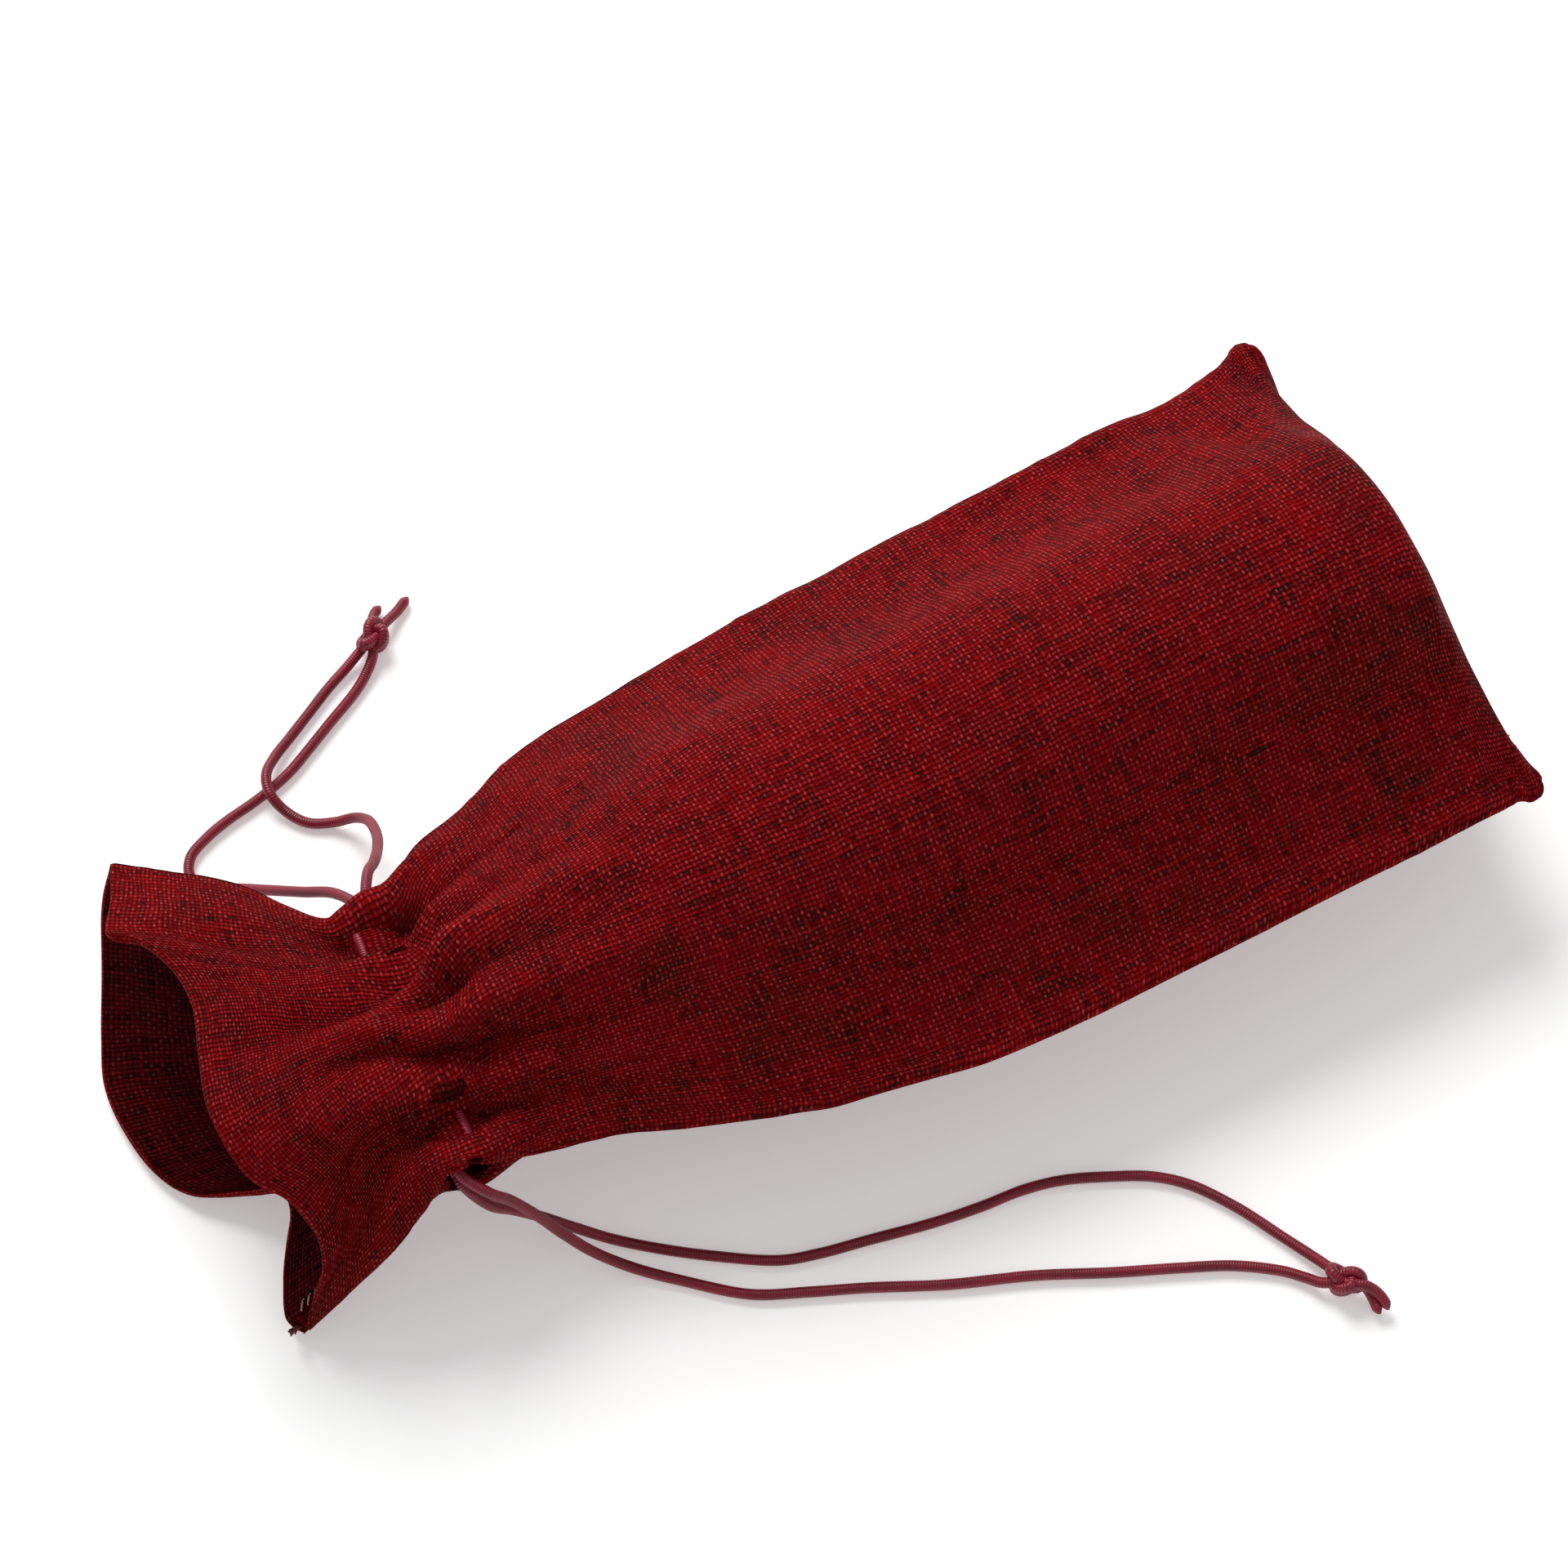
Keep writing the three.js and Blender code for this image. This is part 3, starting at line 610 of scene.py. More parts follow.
# Sections of the body: seam ends left and right, the seam's height, the round's radius and
# the share of the height that is left where the closed end draws in, in millimetres.
BODY_SECTIONS = [
    ((-84, 42.5), (-90, -40.5), 37.5, 22, 1),
    ((-70, 49.5), (-76, -45.5), 36.5, 25.5, 1),
    ((-54, 56.5), (-58, -52.5), 36, 31, 1),
    ((-36, 59.5), (-38, -59.5), 36, 35.5, 1),
    ((-12, 60.5), (-12, -65.5), 36, 37.5, 1),
    ((25, 62), (25, -70), 36, 37.5, 1),
    ((70, 64), (70, -71), 36, 37.5, 1),
    ((115, 65.5), (115, -71.5), 36, 37.5, 1),
    ((141, 65.5), (141, -72), 35.5, 37.5, 1),
    ((152, 68), (151, -73), 35, 37.5, 0.95),
    ((161, 71), (158, -74), 34.5, 37.5, 0.62),
    ((169.5, 71), (164, -74), 34, 37.5, 0),
]
CLOSED_END_HOLLOW = 7 * MM  # the closed end's seam draws in between its corners
CORNER_RADIUS = 13 * MM
RUFFLE_FULLNESS = {"left": (2.5 * MM, 9 * MM), "right": (3.2 * MM, -4.6 * MM)}
SWELL_POWER = 1.5  # above one, the ruffle is fullest near the neck
DENSE = 240


def body_section(side, left, right, seam, radius, height):
    """Flat from each seam to where it meets the round, then over the round."""
    left_y, right_y = left[1] * MM, right[1] * MM
    seam, radius = seam * MM, radius * MM

    def tangent(y, turn):
        dy, dz = y - AXIS_Y, seam - AXIS_Z
        return math.atan2(dz, dy) + side * turn * math.acos(radius / math.hypot(dy, dz))

    start, stop = tangent(left_y, 1), tangent(right_y, -1)
    if side * stop < 0:
        stop += side * math.tau
    angles = np.linspace(start, stop, DENSE)
    arc = np.stack([AXIS_Y + radius * np.cos(angles), AXIS_Z + radius * np.sin(angles)], axis=1)
    outline = np.vstack([[left_y, seam], arc, [right_y, seam]])
    steps = np.linalg.norm(np.diff(outline, axis=0), axis=1)
    share = np.concatenate([[0], np.cumsum(steps)]) / steps.sum()
    x = (left[0] + (right[0] - left[0]) * share) * MM
    rise = np.maximum(side * (outline[:, 1] - seam) * height, 0)
    return np.stack([x, outline[:, 0], seam + side * rise], axis=1)


NECK_RADIUS = 18.2 * MM
WING = 7.5 * MM  # beside the round neck the channel stands this far from its middle plane
WING_POWER = 6


def neck_section(side, along):
    across = NECK_HALF * np.cos(np.linspace(0, math.pi, DENSE))
    wing = WING * np.sqrt(np.clip(1 - (np.abs(across) / NECK_HALF) ** WING_POWER, 0, 1))
    middle = np.sqrt(np.clip(NECK_RADIUS**2 - across**2, 0, None))
    up = np.maximum(wing, middle)
    return np.array([neck_point(along, a, side * u) for a, u in zip(across, up)])


def smooth_rows(rows, at, wanted):
    """Rows of points at distances at, interpolated smoothly at the wanted distances."""
    rows = np.array(rows)
    slopes = np.gradient(rows, at, axis=0)
    out = []
    for v in wanted:
        i = int(np.clip(np.searchsorted(at, v, side="right") - 1, 0, len(at) - 2))
        span = at[i + 1] - at[i]
        t = (v - at[i]) / span
        a, b = rows[i], rows[i + 1]
        ma, mb = slopes[i] * span, slopes[i + 1] * span
        out.append(
            (2 * t**3 - 3 * t**2 + 1) * a
            + (t**3 - 2 * t**2 + t) * ma
            + (-2 * t**3 + 3 * t**2) * b
            + (t**3 - t**2) * mb
        )
    return np.array(out)


def base_grid(side, flat_rows):
    """The bag's smooth shape, grid[row][column], before the folds of the gather."""
    rim = FRONT_RIM if side == FRONT else BACK_RIM
    keys = [catmull_rom(rim), neck_section(side, -7.5 * MM), neck_section(side, 7.5 * MM)]
    keys += [body_section(side, *section) for section in BODY_SECTIONS]
    keys = [resample(key, COLUMNS + 1) for key in keys]
    gaps = [np.linalg.norm(b - a, axis=1).mean() for a, b in zip(keys[2:], keys[3:])]
    travelled = np.cumsum(gaps)
    body_at = STITCH_ROWS[1] + travelled * (FLAT_LENGTH - STITCH_ROWS[1]) / travelled[-1]
    at = np.array([0, *STITCH_ROWS, *body_at])
    share = np.linspace(0, 1, COLUMNS + 1)
    keys[-1][:, 0] -= CLOSED_END_HOLLOW * (1 - np.abs(2 * share - 1) ** 3)
    grid = smooth_rows(keys, at, flat_rows)
    above = np.clip(flat_rows / STITCH_ROWS[0], 0, 1)
    swell = np.sin(math.pi * above**SWELL_POWER)
    for edge, (x, y) in RUFFLE_FULLNESS.items():
        near = np.clip(1 - (share if edge == "left" else 1 - share) / 0.3, 0, 1) ** 2
        weight = swell[:, None] * near[None, :]
        grid[:, :, 0] += x * weight
        grid[:, :, 1] += y * weight
    return grid


# The gather's folds leave the channel in two even fans, one down the body and one up the
# ruffle. Each fold is its height, its length and how far its far end leans aside, as a share
# of the panel's width. Ridges stand out of the cloth and valleys go in.
FAN_EDGE = 0.06  # share of the width outside a fan's first and last fold
FAN_START = {"body": 66, "ruffle": 62}  # millimetres below the rim
FAN_WAY = {"body": 1, "ruffle": -1}
FADE = 0.3  # share of its height that a fold keeps at its far end
FRONT_FANS = {
    "body": [
        (3.5, 42, 0.02), (-6.5, 55, 0.09), (3.5, 34, 0.04), (-5, 30, 0.03), (6.5, 66, 0.08),
        (-7, 42, 0.05), (6, 60, 0.05), (-7, 54, 0.04), (3.5, 34, 0.03), (-4.5, 28, 0.03), (2, 20, 0),
    ],
    "ruffle": [
        (2.5, 58, 0.06), (-6, 20, -0.12), (4, 58, -0.05), (-10, 50, 0.08), (2, 14, 0),
        (-7, 32, -0.04), (6, 50, -0.08), (-5, 32, 0.03), (1, 20, 0),
    ],
}
BACK_FANS = {
    "body": [
        (3, 60, 0), (-4.5, 38, 0), (4, 52, 0.02), (-4.5, 38, 0), (4, 58, 0), (-4.5, 38, 0),
        (4, 45, 0), (-3.5, 20, 0), (2, 20, 0),
    ],
    "ruffle": [(2, 22, 0), (-4, 34, -0.04), (2, 22, 0), (-4, 34, 0.05), (2, 22, 0)],
}
FOLD_HALF = {"body": 8.5, "ruffle": 9.5}  # a fold's half width, in millimetres


def folds(side):
    """Each fold's height at its start and end, half width, and its two ends on the flat panel."""
    for part, fan in (FRONT_FANS if side == FRONT else BACK_FANS).items():
        for share, (height, length, lean) in zip(np.linspace(FAN_EDGE, 1 - FAN_EDGE, len(fan)), fan):
            below = FAN_START[part] * MM
            start = np.array([share * FLAT_WIDTH, below])
            stop = np.array([(share + lean) * FLAT_WIDTH, below + FAN_WAY[part] * length * MM])
            yield height * MM, height * FADE * MM, FOLD_HALF[part] * MM, start, stop


def fold_heights(side, columns, flat_rows):
    """How far each point of the grid stands out of the smooth shape."""
    place = np.stack(np.meshgrid(columns * FLAT_WIDTH, flat_rows), axis=2)
    heights = np.zeros(place.shape[:2])
    for first, last, half, start, stop in folds(side):
        way = stop - start
        share = np.clip((place - start) @ way / way.dot(way), 0, 1)
        away = np.linalg.norm(place - start - share[..., None] * way, axis=2)
        heights += (first + (last - first) * share) * np.exp(-((away / half) ** 2))
    edge = np.clip(np.minimum(columns, 1 - columns) / 0.05, 0, 1)
    return heights * edge


def grid_normals(grid, side):
    across = np.gradient(grid, axis=1)
    along = np.gradient(grid, axis=0)
    normals = np.cross(across, along) * side
    return normals / np.maximum(np.linalg.norm(normals, axis=2, keepdims=True), 1e-12)


def sample_grid(grid, rows, columns):
    """The grid's surface at places given in rows and columns, which may be fractions."""
    i = np.clip(rows.astype(int), 0, grid.shape[0] - 2)
    j = np.clip(columns.astype(int), 0, grid.shape[1] - 2)
    a, b = (rows - i)[..., None], (columns - j)[..., None]
    upper = grid[i, j] * (1 - b) + grid[i, j + 1] * b
    lower = grid[i + 1, j] * (1 - b) + grid[i + 1, j + 1] * b
    return upper * (1 - a) + lower * a


def round_corners(grid, flat_rows):
    """The closed end's two corners, turned right side out, are round."""
    across = np.linspace(0, FLAT_WIDTH, grid.shape[1])[None, :]
    along = flat_rows[:, None]
    from_side = np.minimum(across, FLAT_WIDTH - across)
    p = np.clip(1 - from_side / CORNER_RADIUS, 0, 1)
    q = np.clip(1 - (FLAT_LENGTH - along) / CORNER_RADIUS, 0, 1)
    inward = CORNER_RADIUS * p * (1 - np.sqrt(1 - q**2 / 2))
    back = CORNER_RADIUS * q * (1 - np.sqrt(1 - p**2 / 2))
    new_across = across + np.where(across < FLAT_WIDTH / 2, inward, -inward)
    rows = (along - back) / FLAT_LENGTH * (grid.shape[0] - 1)
    return sample_grid(grid, rows, new_across / FLAT_WIDTH * (grid.shape[1] - 1))


def target_grid(side, flat_rows):
    base = round_corners(base_grid(side, flat_rows), flat_rows)
    columns = np.linspace(0, 1, COLUMNS + 1)
    heights = fold_heights(side, columns, flat_rows)
    grid = base + grid_normals(base, side) * heights[:, :, None]
    grid[:, :, 2] = np.maximum(grid[:, :, 2], CLOTH + 0.3 * MM)
    return grid


# ---- Cloth simulation ----
SCALE = 10  # the cloth is simulated ten times larger, where the solver's distances suit it
SIM_FRAMES = 14
MOST_MOVE = 5 * MM
SOFTENING = 4
CLOTH_SETTINGS = {
    "quality": 6, "mass": 0.4, "air_damping": 3, "pin_stiffness": 1, "shrink_min": -0.012,
    "tension_stiffness": 40, "compression_stiffness": 40, "shear_stiffness": 12,
    "bending_stiffness": 40,
}
CLOTH_COLLISION = {
    "distance_min": 0.012, "collision_quality": 3, "use_self_collision": True,
    "self_distance_min": 0.012,
}
CLOTH_GRAVITY = 0.6
HELD_CHANNEL, HELD_RIM, HELD_EDGE = 0.9, 0.25, 0.8  # how firmly these are pinned
GATHER_FREEDOM = 0.3  # share of the simulated move that the gather and the ruffle take
FREE_FROM = (12 * MM, 45 * MM)  # below the channel the share grows to all of it between these


def bag_mesh_parts(grids):
    """One closed bag: both grids share the seam columns and the last row."""
    rows, columns = ROWS + 1, COLUMNS + 1
    index = {FRONT: np.arange(rows * columns).reshape(rows, columns)}
    points = list(grids[FRONT].reshape(-1, 3))
    back = np.zeros((rows, columns), int)
    for i in range(rows):
        for j in range(columns):
            shared = j in (0, columns - 1) or i == rows - 1
            if shared:
                back[i, j] = index[FRONT][i, j]
            else:
                back[i, j] = len(points)
                points.append(grids[BACK][i, j])
    index[BACK] = back
    faces = []
    for side in (FRONT, BACK):
        at = index[side]
        for i in range(ROWS):
            for j in range(COLUMNS):
                quad = (at[i, j], at[i + 1, j], at[i + 1, j + 1], at[i, j + 1])
                faces.append(tuple(int(k) for k in (quad if side == FRONT else quad[::-1])))
    return np.array(points), faces, index


def collider(name, vertices, faces, thickness):
    body = put_in_scene(name, mesh_from(name, vertices, faces))
    body.modifiers.new("collision", "COLLISION")
    body.collision.thickness_outer = thickness
    body.collision.cloth_friction = 8
    return body


def bottle_collider():
    """The shape that the bag was filled to: a 75 cl bottle lying along the bag."""
    profile = [(-150, 14), (-110, 14.5), (-88, 15.5), (-70, 20), (-52, 27), (-36, 33), (-15, 36.6),
               (10, 37), (140, 37), (148, 35), (151, 30), (152, 0.5)]
    sides = 48
    vertices, faces = [], []
    for x, radius in profile:
        for k in range(sides):
            angle = math.tau * k / sides
            y = AXIS_Y + radius * MM * math.cos(angle)
            z = AXIS_Z + radius * MM * math.sin(angle)
            vertices.append(np.array([x * MM, y, z]) * SCALE)
    for i in range(len(profile) - 1):
        for k in range(sides):
            nxt = (k + 1) % sides
            faces.append((i * sides + k, i * sides + nxt, (i + 1) * sides + nxt, (i + 1) * sides + k))
    return collider("bottle_space", vertices, faces, 0.004)


def floor_collider():
    half = 0.4 * SCALE
    top = 0.2 * MM * SCALE
    corners = [(-half, -half, top), (half, -half, top), (half, half, top), (-half, half, top)]
    return collider("resting_floor", corners, [(0, 1, 2, 3)], 0.01)


def simulate(points, faces, index, flat_rows):
    piece = put_in_scene("bag_simulation", mesh_from("bag_simulation", points * SCALE, faces))
    held = piece.vertex_groups.new(name="held")
    for side in (FRONT, BACK):
        for i, v in enumerate(flat_rows):
            near_channel = STITCH_ROWS[0] - 1 * MM <= v <= STITCH_ROWS[1] + 1 * MM
            weight = HELD_CHANNEL if near_channel else (HELD_RIM if i <= 1 else 0.0)
            if weight:
                held.add([int(k) for k in index[side][i]], weight, "REPLACE")
        edge = [int(index[side][i, j]) for i in range(ROWS + 1) for j in (0, COLUMNS)]
        held.add(edge, HELD_EDGE, "REPLACE")
    held.add([int(k) for k in index[FRONT][-1]], HELD_EDGE, "REPLACE")
    colliders = [bottle_collider(), floor_collider()]
    cloth = piece.modifiers.new("cloth", "CLOTH")
    for setting, value in CLOTH_SETTINGS.items():
        setattr(cloth.settings, setting, value)
    cloth.settings.vertex_group_mass = "held"
    cloth.settings.effector_weights.gravity = CLOTH_GRAVITY
    for setting, value in CLOTH_COLLISION.items():
        setattr(cloth.collision_settings, setting, value)
    cloth.point_cache.frame_start = 1
    cloth.point_cache.frame_end = SIM_FRAMES
    for step in range(1, SIM_FRAMES + 1):
        bpy.context.scene.frame_set(step)
    dependencies = bpy.context.evaluated_depsgraph_get()
    moved = piece.evaluated_get(dependencies).to_mesh()
    result = np.zeros(len(moved.vertices) * 3)
    moved.vertices.foreach_get("co", result)
    for item in (piece, *colliders):
        bpy.data.objects.remove(item)
    bpy.context.scene.frame_set(1)
    change = result.reshape(-1, 3) / SCALE - points
    size = np.linalg.norm(change, axis=1, keepdims=True)
    return change * np.minimum(1, MOST_MOVE / np.maximum(size, 1e-9))


def soften(moves):
    """The cloth's moves without their finest ripples, which thick canvas doesn't form."""
    for _ in range(SOFTENING):
        wide = np.pad(moves, ((1, 1), (1, 1), (0, 0)), mode="edge")
        beside = wide[:-2, 1:-1] + wide[2:, 1:-1] + wide[1:-1, :-2] + wide[1:-1, 2:]
        moves = (beside + 4 * moves) / 8
    return moves


def weld(grids):
    """Both panels meet midway along the sewn edges."""
    for part in (np.s_[:, 0], np.s_[:, -1], np.s_[-1]):
        middle = (grids[FRONT][part] + grids[BACK][part]) / 2
        grids[FRONT][part] = middle
        grids[BACK][part] = middle


def make_bag_grids():
    flat_rows = np.linspace(0, FLAT_LENGTH, ROWS + 1)
    grids = {side: target_grid(side, flat_rows) for side in (FRONT, BACK)}
    weld(grids)
    points, faces, index = bag_mesh_parts(grids)
    moves = simulate(points, faces, index, flat_rows)
    from_channel = np.abs(flat_rows - CHANNEL)
    freedom = GATHER_FREEDOM + (1 - GATHER_FREEDOM) * smooth_step(from_channel, *FREE_FROM)
    freedom[flat_rows < CHANNEL] = GATHER_FREEDOM
    for side in (FRONT, BACK):
        grids[side] = grids[side] + soften(moves[index[side]]) * freedom[:, None, None]
    weld(grids)
    for side in (FRONT, BACK):
        grids[side][:, :, 2] = np.maximum(grids[side][:, :, 2], CLOTH)
    return grids, flat_rows


# ---- Cloth pieces ----
def doubled(grid):
    """The grid with a smooth row between each two of its rows, and where the rows now lie."""
    count = len(grid)
    fine = np.linspace(0, count - 1, 2 * count - 1)
    return smooth_rows(grid, np.arange(count, dtype=float), fine), fine


def refine(grid, flat_rows):
    """The grid with its points doubled each way, along smooth curves."""
    grid, fine_rows = doubled(grid)
    flat_rows = np.interp(fine_rows, np.arange(len(flat_rows)), flat_rows)
    turned, _ = doubled(np.swapaxes(grid, 0, 1))
    return np.swapaxes(turned, 0, 1), flat_rows


def shell(name, inner, outer, across, along, material):
    """A closed sheet between two grids. across and along are the flat places."""
    rows, columns = inner.shape[:2]
    count = rows * columns
    vertices = np.vstack([inner.reshape(-1, 3), outer.reshape(-1, 3)])
    flat = np.stack(np.meshgrid(across, along), axis=2).reshape(-1, 2)
    flat = np.vstack([flat, flat])
    at = np.arange(count).reshape(rows, columns)
    faces = []
    for i in range(rows - 1):
        for j in range(columns - 1):
            quad = (at[i, j], at[i + 1, j], at[i + 1, j + 1], at[i, j + 1])
            faces.append(quad[::-1])
            faces.append(tuple(k + count for k in quad))
    edges = [(at[0, j], at[0, j + 1]) for j in range(columns - 1)]
    edges += [(at[i, -1], at[i + 1, -1]) for i in range(rows - 1)]
    edges += [(at[-1, j + 1], at[-1, j]) for j in range(columns - 1)]
    edges += [(at[i + 1, 0], at[i, 0]) for i in range(rows - 1)]
    faces += [(a, b, b + count, a + count) for a, b in edges]
    uvs = [flat[k] for face in faces for k in face]
    faces = [tuple(int(k) for k in face) for face in faces]
    return mesh_object(name, vertices, faces, material, uvs)


SLOT_REACH = 10 * MM  # half length of each side gap, along the seam
SLOT_HEIGHT = 6.3 * MM
SLOT_DEPTH = (9 * MM, 15 * MM)  # the gap's height fades out across the panel between these
PUCKER = 0.35 * MM  # how much the sewn edges ripple
PUCKER_REACH = 9 * MM
SLUB = 0.22 * MM  # slow unevenness of the cloth


def open_side_gaps(grid, side, across, rows):
    """The side seams stay open at the channel, so that the cords can come out."""
    away = np.clip(np.abs(rows - CHANNEL) / SLOT_REACH, 0, 1)
    reach = (1 + np.cos(math.pi * away)) / 2
    from_edge = np.minimum(across, FLAT_WIDTH - across)
    fade = 1 - 0.2 * smooth_step(from_edge, *SLOT_DEPTH)
    wanted = SLOT_HEIGHT * reach[:, None] * fade[None, :]
    rise = np.maximum(side * (grid[:, :, 2] - NECK[2]), wanted)
    opened = reach > 0
    grid[opened, :, 2] = NECK[2] + side * rise[opened]


def roughen(grid, side, across, rows):
    """Small puckers along the sewn edges, and the cloth's own slow unevenness."""
    normals = grid_normals(grid, side)
    from_edge = np.minimum(across, FLAT_WIDTH - across)
    pucker = PUCKER * (1 - smooth_step(from_edge, 0, PUCKER_REACH))
    for i, v in enumerate(rows):
        for j, u in enumerate(across):
            slow = noise.noise(Vector((u * 75, v * 75, side * 5.0)))
            ripple = noise.noise(Vector((u * 40, v * 230, side * 9.0)))
            grid[i, j] += normals[i, j] * (SLUB * slow + pucker[j] * ripple)
    grid[:, :, 2] = np.maximum(grid[:, :, 2], CLOTH)


HEM_GAP = 0.15 * MM  # between a hem and its panel
FOLD_STEPS = 9
FOLD_CORE = 0.04  # the fold's inner radius as a share of its thickness


def rim_fold(inner, outer, normals):
    """Rows that carry the cloth round the rim, from the hem's side to the outside."""
    towards_mouth = inner[0] - inner[1]
    towards_mouth /= np.linalg.norm(towards_mouth, axis=1)[:, None]
    thickness = CLOTH + HEM_GAP + HEM_CLOTH
    centre = inner[0] + normals[0] * (CLOTH - thickness / 2)
    inner_rows, outer_rows, places = [], [], []
    for angle in np.linspace(math.pi, 0, FOLD_STEPS)[:-1]:
        around = math.cos(angle) * normals[0] + math.sin(angle) * towards_mouth
        inner_rows.append(centre + around * thickness * FOLD_CORE)
        outer_rows.append(centre + around * thickness / 2)
        places.append(-angle * thickness / 2)
    lifted = np.array(outer_rows)
    lifted[:, :, 2] = np.maximum(lifted[:, :, 2], 0)
    return np.vstack([inner_rows, inner]), np.vstack([lifted, outer]), places


def edge_rolled(outer, grid, normals):
    """The sewn edge is rolled in: its outside points come together over the seam."""
    for edge, nxt in ((0, 1), (-1, -2)):
        out = grid[:, edge] - grid[:, nxt]
        out /= np.linalg.norm(out, axis=1)[:, None]
        outer[:, edge] = grid[:, edge] + (normals[:, edge] * 0.3 + out * 0.8) * CLOTH
    return outer


def make_panel(side, name, coarse, flat_rows, outside, inside):
    grid, rows = refine(coarse, flat_rows)
    across = np.linspace(0, FLAT_WIDTH, grid.shape[1])
    open_side_gaps(grid, side, across, rows)
    roughen(grid, side, across, rows)
    normals = grid_normals(grid, side)
    offset = 0.0 if side == FRONT else 0.2
    outer = edge_rolled(grid + normals * CLOTH, grid, normals)
    outer[:, :, 2] = np.maximum(outer[:, :, 2], 0)
    folded_inner, folded_outer, places = rim_fold(grid, outer, normals)
    panel = shell(
        f"{name}_panel_cloth", folded_inner, folded_outer,
        across + offset, np.concatenate([places, rows]), outside,
    )
    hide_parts(f"{name}_panel")
    hem_rows = rows <= HEM_DEPTH
    keep = slice(3, -3)
    near = (grid - normals * HEM_GAP)[hem_rows, keep]
    far = (grid - normals * (HEM_GAP + HEM_CLOTH))[hem_rows, keep]
    hem = shell(
        f"{name}_hem_cloth", far, near, across[keep] + offset + 0.4, rows[hem_rows], inside
    )
    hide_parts(f"{name}_hem")
    for piece in (panel, hem):
        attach(piece, "bag")
    return {"piece": panel, "hem": hem, "grid": grid, "rows": rows, "normals": normals}


def row_at(made, grid, distance):
    """The line of one of the panel's grids at a distance below the rim."""
    row = int(np.searchsorted(made["rows"], distance))
    share = (distance - made["rows"][row - 1]) / (made["rows"][row] - made["rows"][row - 1])
    return grid[row - 1] * (1 - share) + grid[row] * share


HALF_TURN = 27.3 * MM  # from the neck's middle to where a cord turns back at the far side
CORD_START = 19 * MM  # and to where its part in the channel starts, at its own side
CORD_REACH = 12 * MM  # the cloth within this of the channel can touch its cords
CORD_CLEAR = CORD / 2 + 1 * MM  # the cord's middle stays this far below the cloth


def below_folds(line, made, side):
    """The line lowered until a cord along it clears the cloth all round each point."""
    patch = made["grid"][np.abs(made["rows"] - CHANNEL) < CORD_REACH].reshape(-1, 3)
    lowered = line.copy()
    for point in lowered:
        close = np.hypot(*(patch[:, :2] - point[:2]).T) < CORD
        clear = (side * (patch[close, 2] - NECK[2])).min() - CORD_CLEAR
        point[2] = NECK[2] + side * max(clear, CORD_HEIGHT)
    return lowered


def make_channel_cord(name, hand, panels, material):
    """The cord in the channel: over the neck, round the far side's gap and back below."""
    across_axis = neck_point(0, 1, 0) - NECK
    lines = []
    for side in (FRONT, BACK):
        made = panels[side]
        line = below_folds(row_at(made, made["grid"], CHANNEL + hand * CORD_OFFSET), made, side)
        place = (line - NECK) @ across_axis * hand
        lines.append(line[(place < CORD_START) & (place > -HALF_TURN)][::hand])
    front, back = lines
    angles = np.linspace(0, math.pi, 7)[1:-1]
    turn_centre = neck_point(hand * CORD_OFFSET, -hand * HALF_TURN, 0)
    turn = [
        turn_centre
        - hand * across_axis * CORD_HEIGHT * math.sin(a)
        + np.array([0, 0, CORD_HEIGHT * math.cos(a)])
        for a in angles
    ]
    path = catmull_rom([*front[::3], *turn, *back[::-3]], 6)
    piece = tubes_mesh(f"{name}_channel_cord", [ribbed(path)], material)
    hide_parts(f"{name}_cord_in_channel")
    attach(piece, "bag")


STITCH_PITCH = 3.1 * MM
STITCH_LENGTH = 2.4 * MM
THREAD = 0.45 * MM


def stitches(line, normals_line):
    """Short lengths of thread that dip into the cloth at both ends."""
    count = int(length_of(line) / STITCH_PITCH)
    dense = resample(line, count * 12)
    fields = resample(line + normals_line, count * 12) - dense
    per_stitch = int(12 * STITCH_LENGTH / STITCH_PITCH)
    out = []
    for k in range(count):
        part = slice(12 * k + 1, 12 * k + 2 + per_stitch)
        along = np.linspace(0, math.pi, per_stitch + 1)[:, None]
        raised = CLOTH - THREAD * 0.6 + np.sin(along) * THREAD * 0.9
        out.append((dense[part] + fields[part] * raised, THREAD / 2))
    return out


def make_stitching(name, distance, panels, material):
    tubes = []
    for side in (FRONT, BACK):
        made = panels[side]
        line = row_at(made, made["grid"], distance)
        tubes += stitches(line, row_at(made, made["normals"], distance))
    piece = tubes_mesh(f"{name}_channel_stitches", tubes, material, sides=8)
    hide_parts(f"{name}_channel_stitching")
    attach(piece, "bag")


ALLOWANCE_STEPS = 7  # rows of the fine grid that a seam's allowance takes up
ALLOWANCE_HALF = 0.7 * MM
OVERLOCK_PITCH = 2.4 * MM


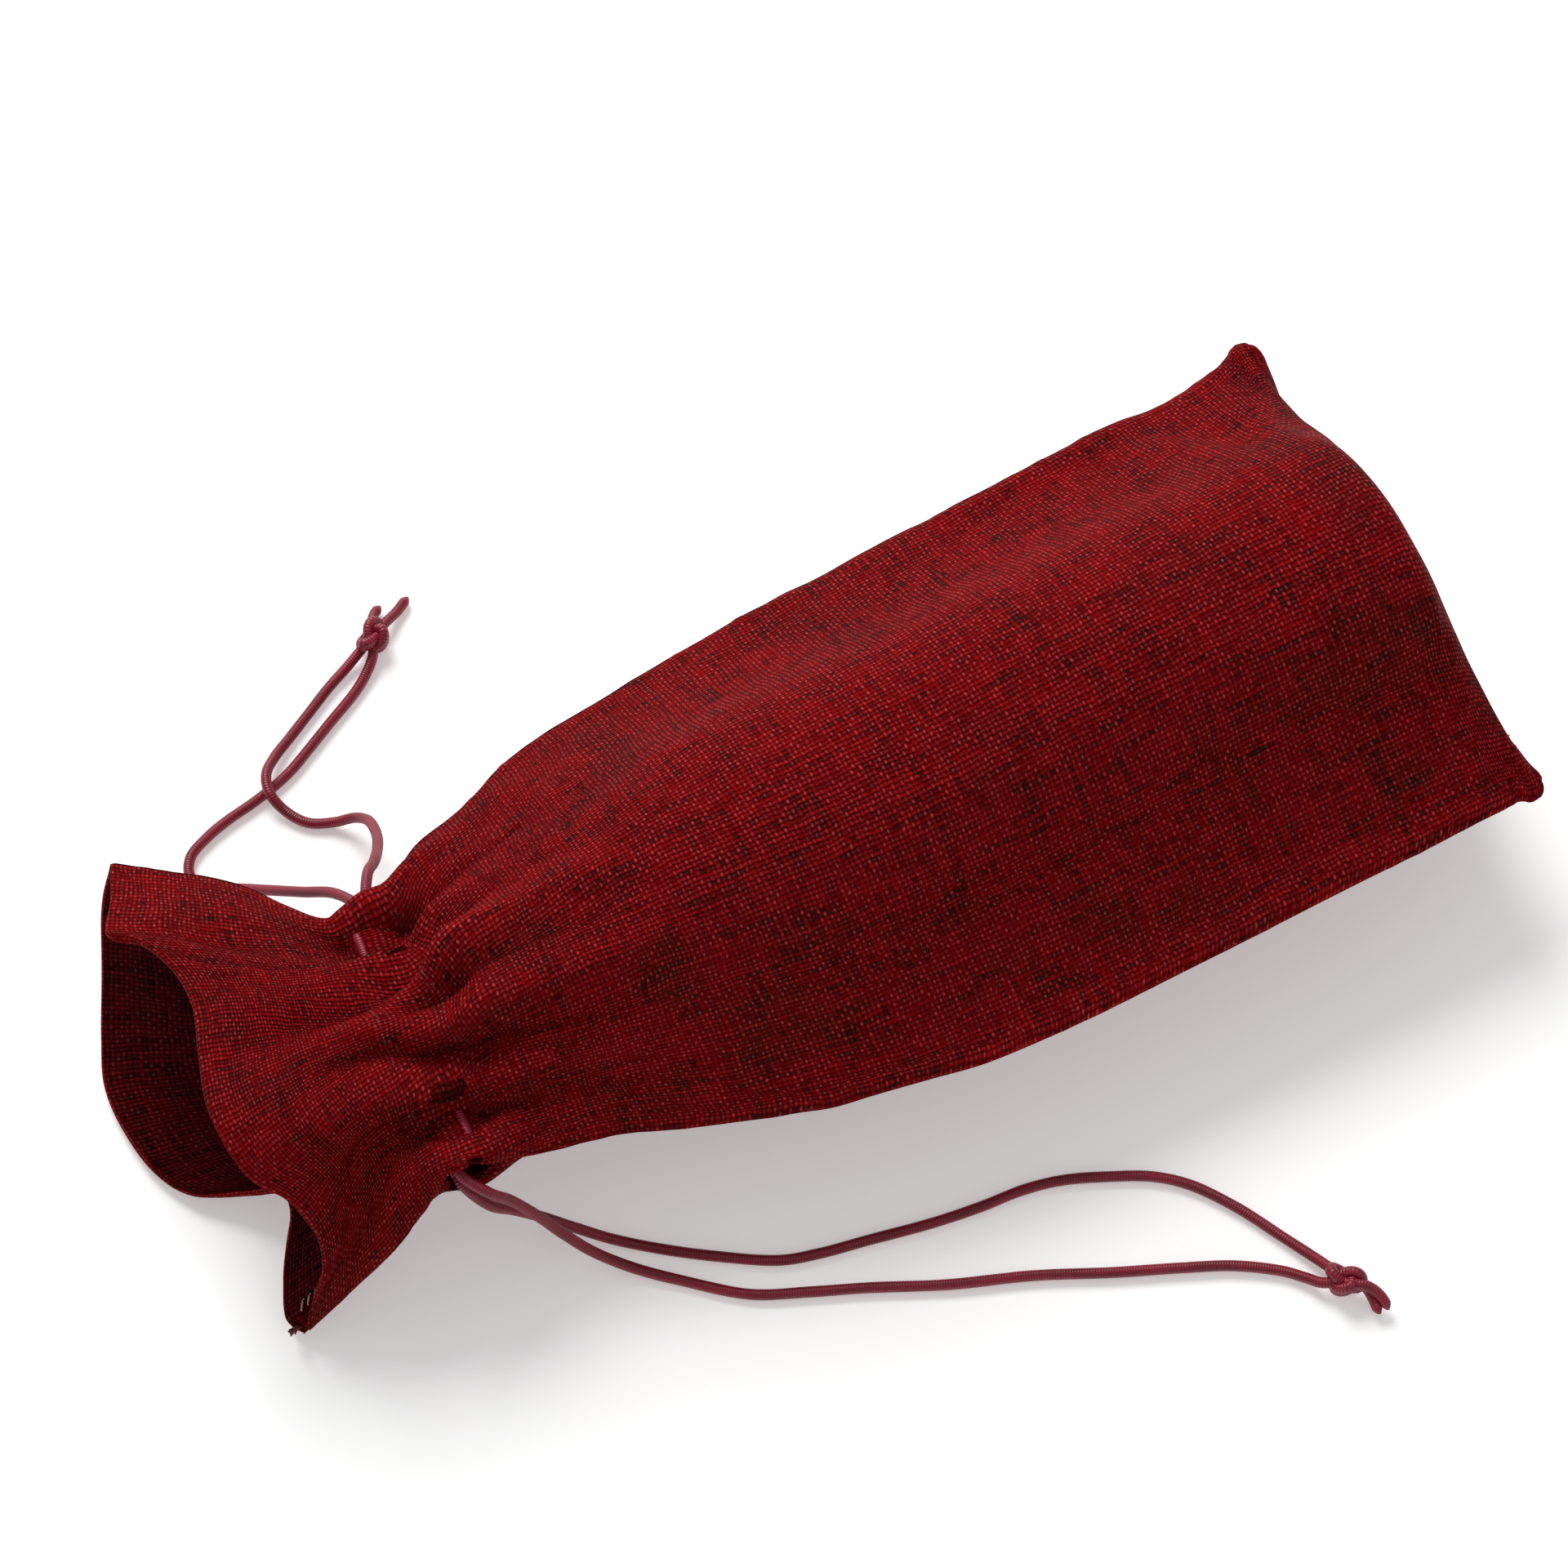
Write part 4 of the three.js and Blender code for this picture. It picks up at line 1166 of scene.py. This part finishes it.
def make_allowance(name, middle, material, pale):
    """Both layers' allowance, standing inside the bag, with an overlocked free edge."""
    normals = grid_normals(middle, FRONT)
    root = middle[:, 0]
    along = np.concatenate([[0], np.cumsum(np.linalg.norm(np.diff(root, axis=0), axis=1))])
    across = np.linspace(0, 8 * MM, middle.shape[1]) + 0.6
    strip = shell(
        f"{name}_allowance", middle - normals * ALLOWANCE_HALF,
        middle + normals * ALLOWANCE_HALF, across, along, material,
    )
    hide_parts(name)
    count = max(int(along[-1] / OVERLOCK_PITCH), 2)
    tubes = []
    for i in np.linspace(0, len(root) - 1, count).astype(int):
        inward = middle[i, -1] - middle[i, -2]
        inward /= np.linalg.norm(inward)
        centre = middle[i, -1] - inward * 1.6 * MM
        turns = np.linspace(-0.65 * math.pi, 0.65 * math.pi, 9)[:, None]
        loop = centre + inward * np.cos(turns) * 1.8 * MM
        loop = loop + normals[i, -1] * np.sin(turns) * (ALLOWANCE_HALF + 0.25 * MM)
        tubes.append((loop, THREAD / 2))
    edging = tubes_mesh(f"{name}_overlock", tubes, pale, sides=6)
    for piece, slot in ((strip, "cloth"), (edging, "thread")):
        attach(piece, "bag")


def make_allowances(panels, material, pale):
    rows = panels[FRONT]["rows"]
    between = (panels[FRONT]["grid"] + panels[BACK]["grid"]) / 2
    mouth = between[(rows > 1 * MM) & (rows < STITCH_ROWS[0] - 6 * MM)]
    side = between[(rows > STITCH_ROWS[1] + 4 * MM) & (rows < FLAT_LENGTH - 12 * MM)]
    for node, part in (("mouth_seam", mouth), ("side_seam", side)):
        make_allowance(f"left_{node}", part[:, 1 : ALLOWANCE_STEPS + 1], material, pale)
        make_allowance(f"right_{node}", part[:, -2 : -ALLOWANCE_STEPS - 2 : -1], material, pale)
    bottom = np.swapaxes(between[-2 : -ALLOWANCE_STEPS - 2 : -1, 10:-10], 0, 1)
    make_allowance("bottom_seam", bottom, material, pale)


FRAYS = 9
FRAY_LENGTH = 3.2 * MM


def wander(place):
    """A small vector that is the same each run, which mathutils' noise_vector isn't."""
    return np.array([noise.noise(Vector((place, axis * 3.1, 0.5))) for axis in range(3)])


def make_frays(corner, away, material):
    """Loose yarn ends where the rim meets the near side seam."""
    tubes = []
    for k in range(FRAYS):
        bend = wander(k * 1.7)
        start = corner + bend * 1.2 * MM
        way = away + 0.8 * wander(k * 2.1 + 50)
        tip = start + way / np.linalg.norm(way) * FRAY_LENGTH * (1 + bend[0] / 2)
        middle = (start + tip) / 2 + np.array([0, 0, 0.7 * MM])
        line = catmull_rom([start, middle, tip], 6)
        line[:, 2] = np.maximum(line[:, 2], THREAD / 2)
        tubes.append((line, THREAD * 0.45))
    piece = tubes_mesh("corner_frays", tubes, material, sides=6)
    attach(piece, "bag")


outside = cloth_material("bag_cloth")
# Painted shade: the cloth inside the bag, its hems and seam allowances, is the outside cloth
# multiplied down to 0.28 for the shade in there.
inside = cloth_material("bag_cloth_inside_painted_shade", 0.28)
thread = thread_material("seam_thread", colour(62, 8, 14), colour(118, 22, 32))
pale_thread = thread_material("overlock_thread", colour(140, 96, 96), colour(196, 160, 156))
coarse, flat_rows = make_bag_grids()
panels = {
    side: make_panel(side, name, coarse[side], flat_rows, outside, inside)
    for side, name in ((FRONT, "front"), (BACK, "back"))
}
for hand_name, cord in CORDS.items():
    make_channel_cord(hand_name, cord["hand"], panels, satin)
for name, distance in zip(("upper", "lower"), STITCH_ROWS):
    make_stitching(name, distance, panels, thread)
make_allowances(panels, inside, pale_thread)
make_frays(panels[BACK]["grid"][0, -2], np.array([-0.9, -0.3, 0.1]), thread)


# ---- Floor and light ----
def make_floor():
    half = 3.0
    corners = [(-half, -half, 0), (half, -half, 0), (half, half, 0), (-half, half, 0)]
    floor = mesh_object("floor", corners, [(0, 1, 2, 3)], floor_material())
    floor.location.z = -0.2 * MM


def area_light(name, place, size, power):
    data = bpy.data.lights.new(name, "AREA")
    data.shape = "DISK"
    data.size = size
    data.energy = power
    light = put_in_scene(name, data)
    light.location = place
    light.rotation_mode = "QUATERNION"
    light.rotation_quaternion = (TARGET - Vector(place)).to_track_quat("-Z", "Y")


def make_light():
    area_light("key", (0.1, 1.25, 1.25), 1.1, 27)
    area_light("fill", (0.6, -1.2, 1.4), 1.4, 2)
    world = bpy.data.worlds.new("studio")
    world.use_nodes = True
    world.node_tree.nodes["Background"].inputs[0].default_value = (1, 1, 1, 1)
    world.node_tree.nodes["Background"].inputs[1].default_value = 0.34
    bpy.context.scene.world = world
    bpy.context.scene.view_settings.view_transform = "Standard"


make_floor()
make_light()

bpy.context.view_layer.update()
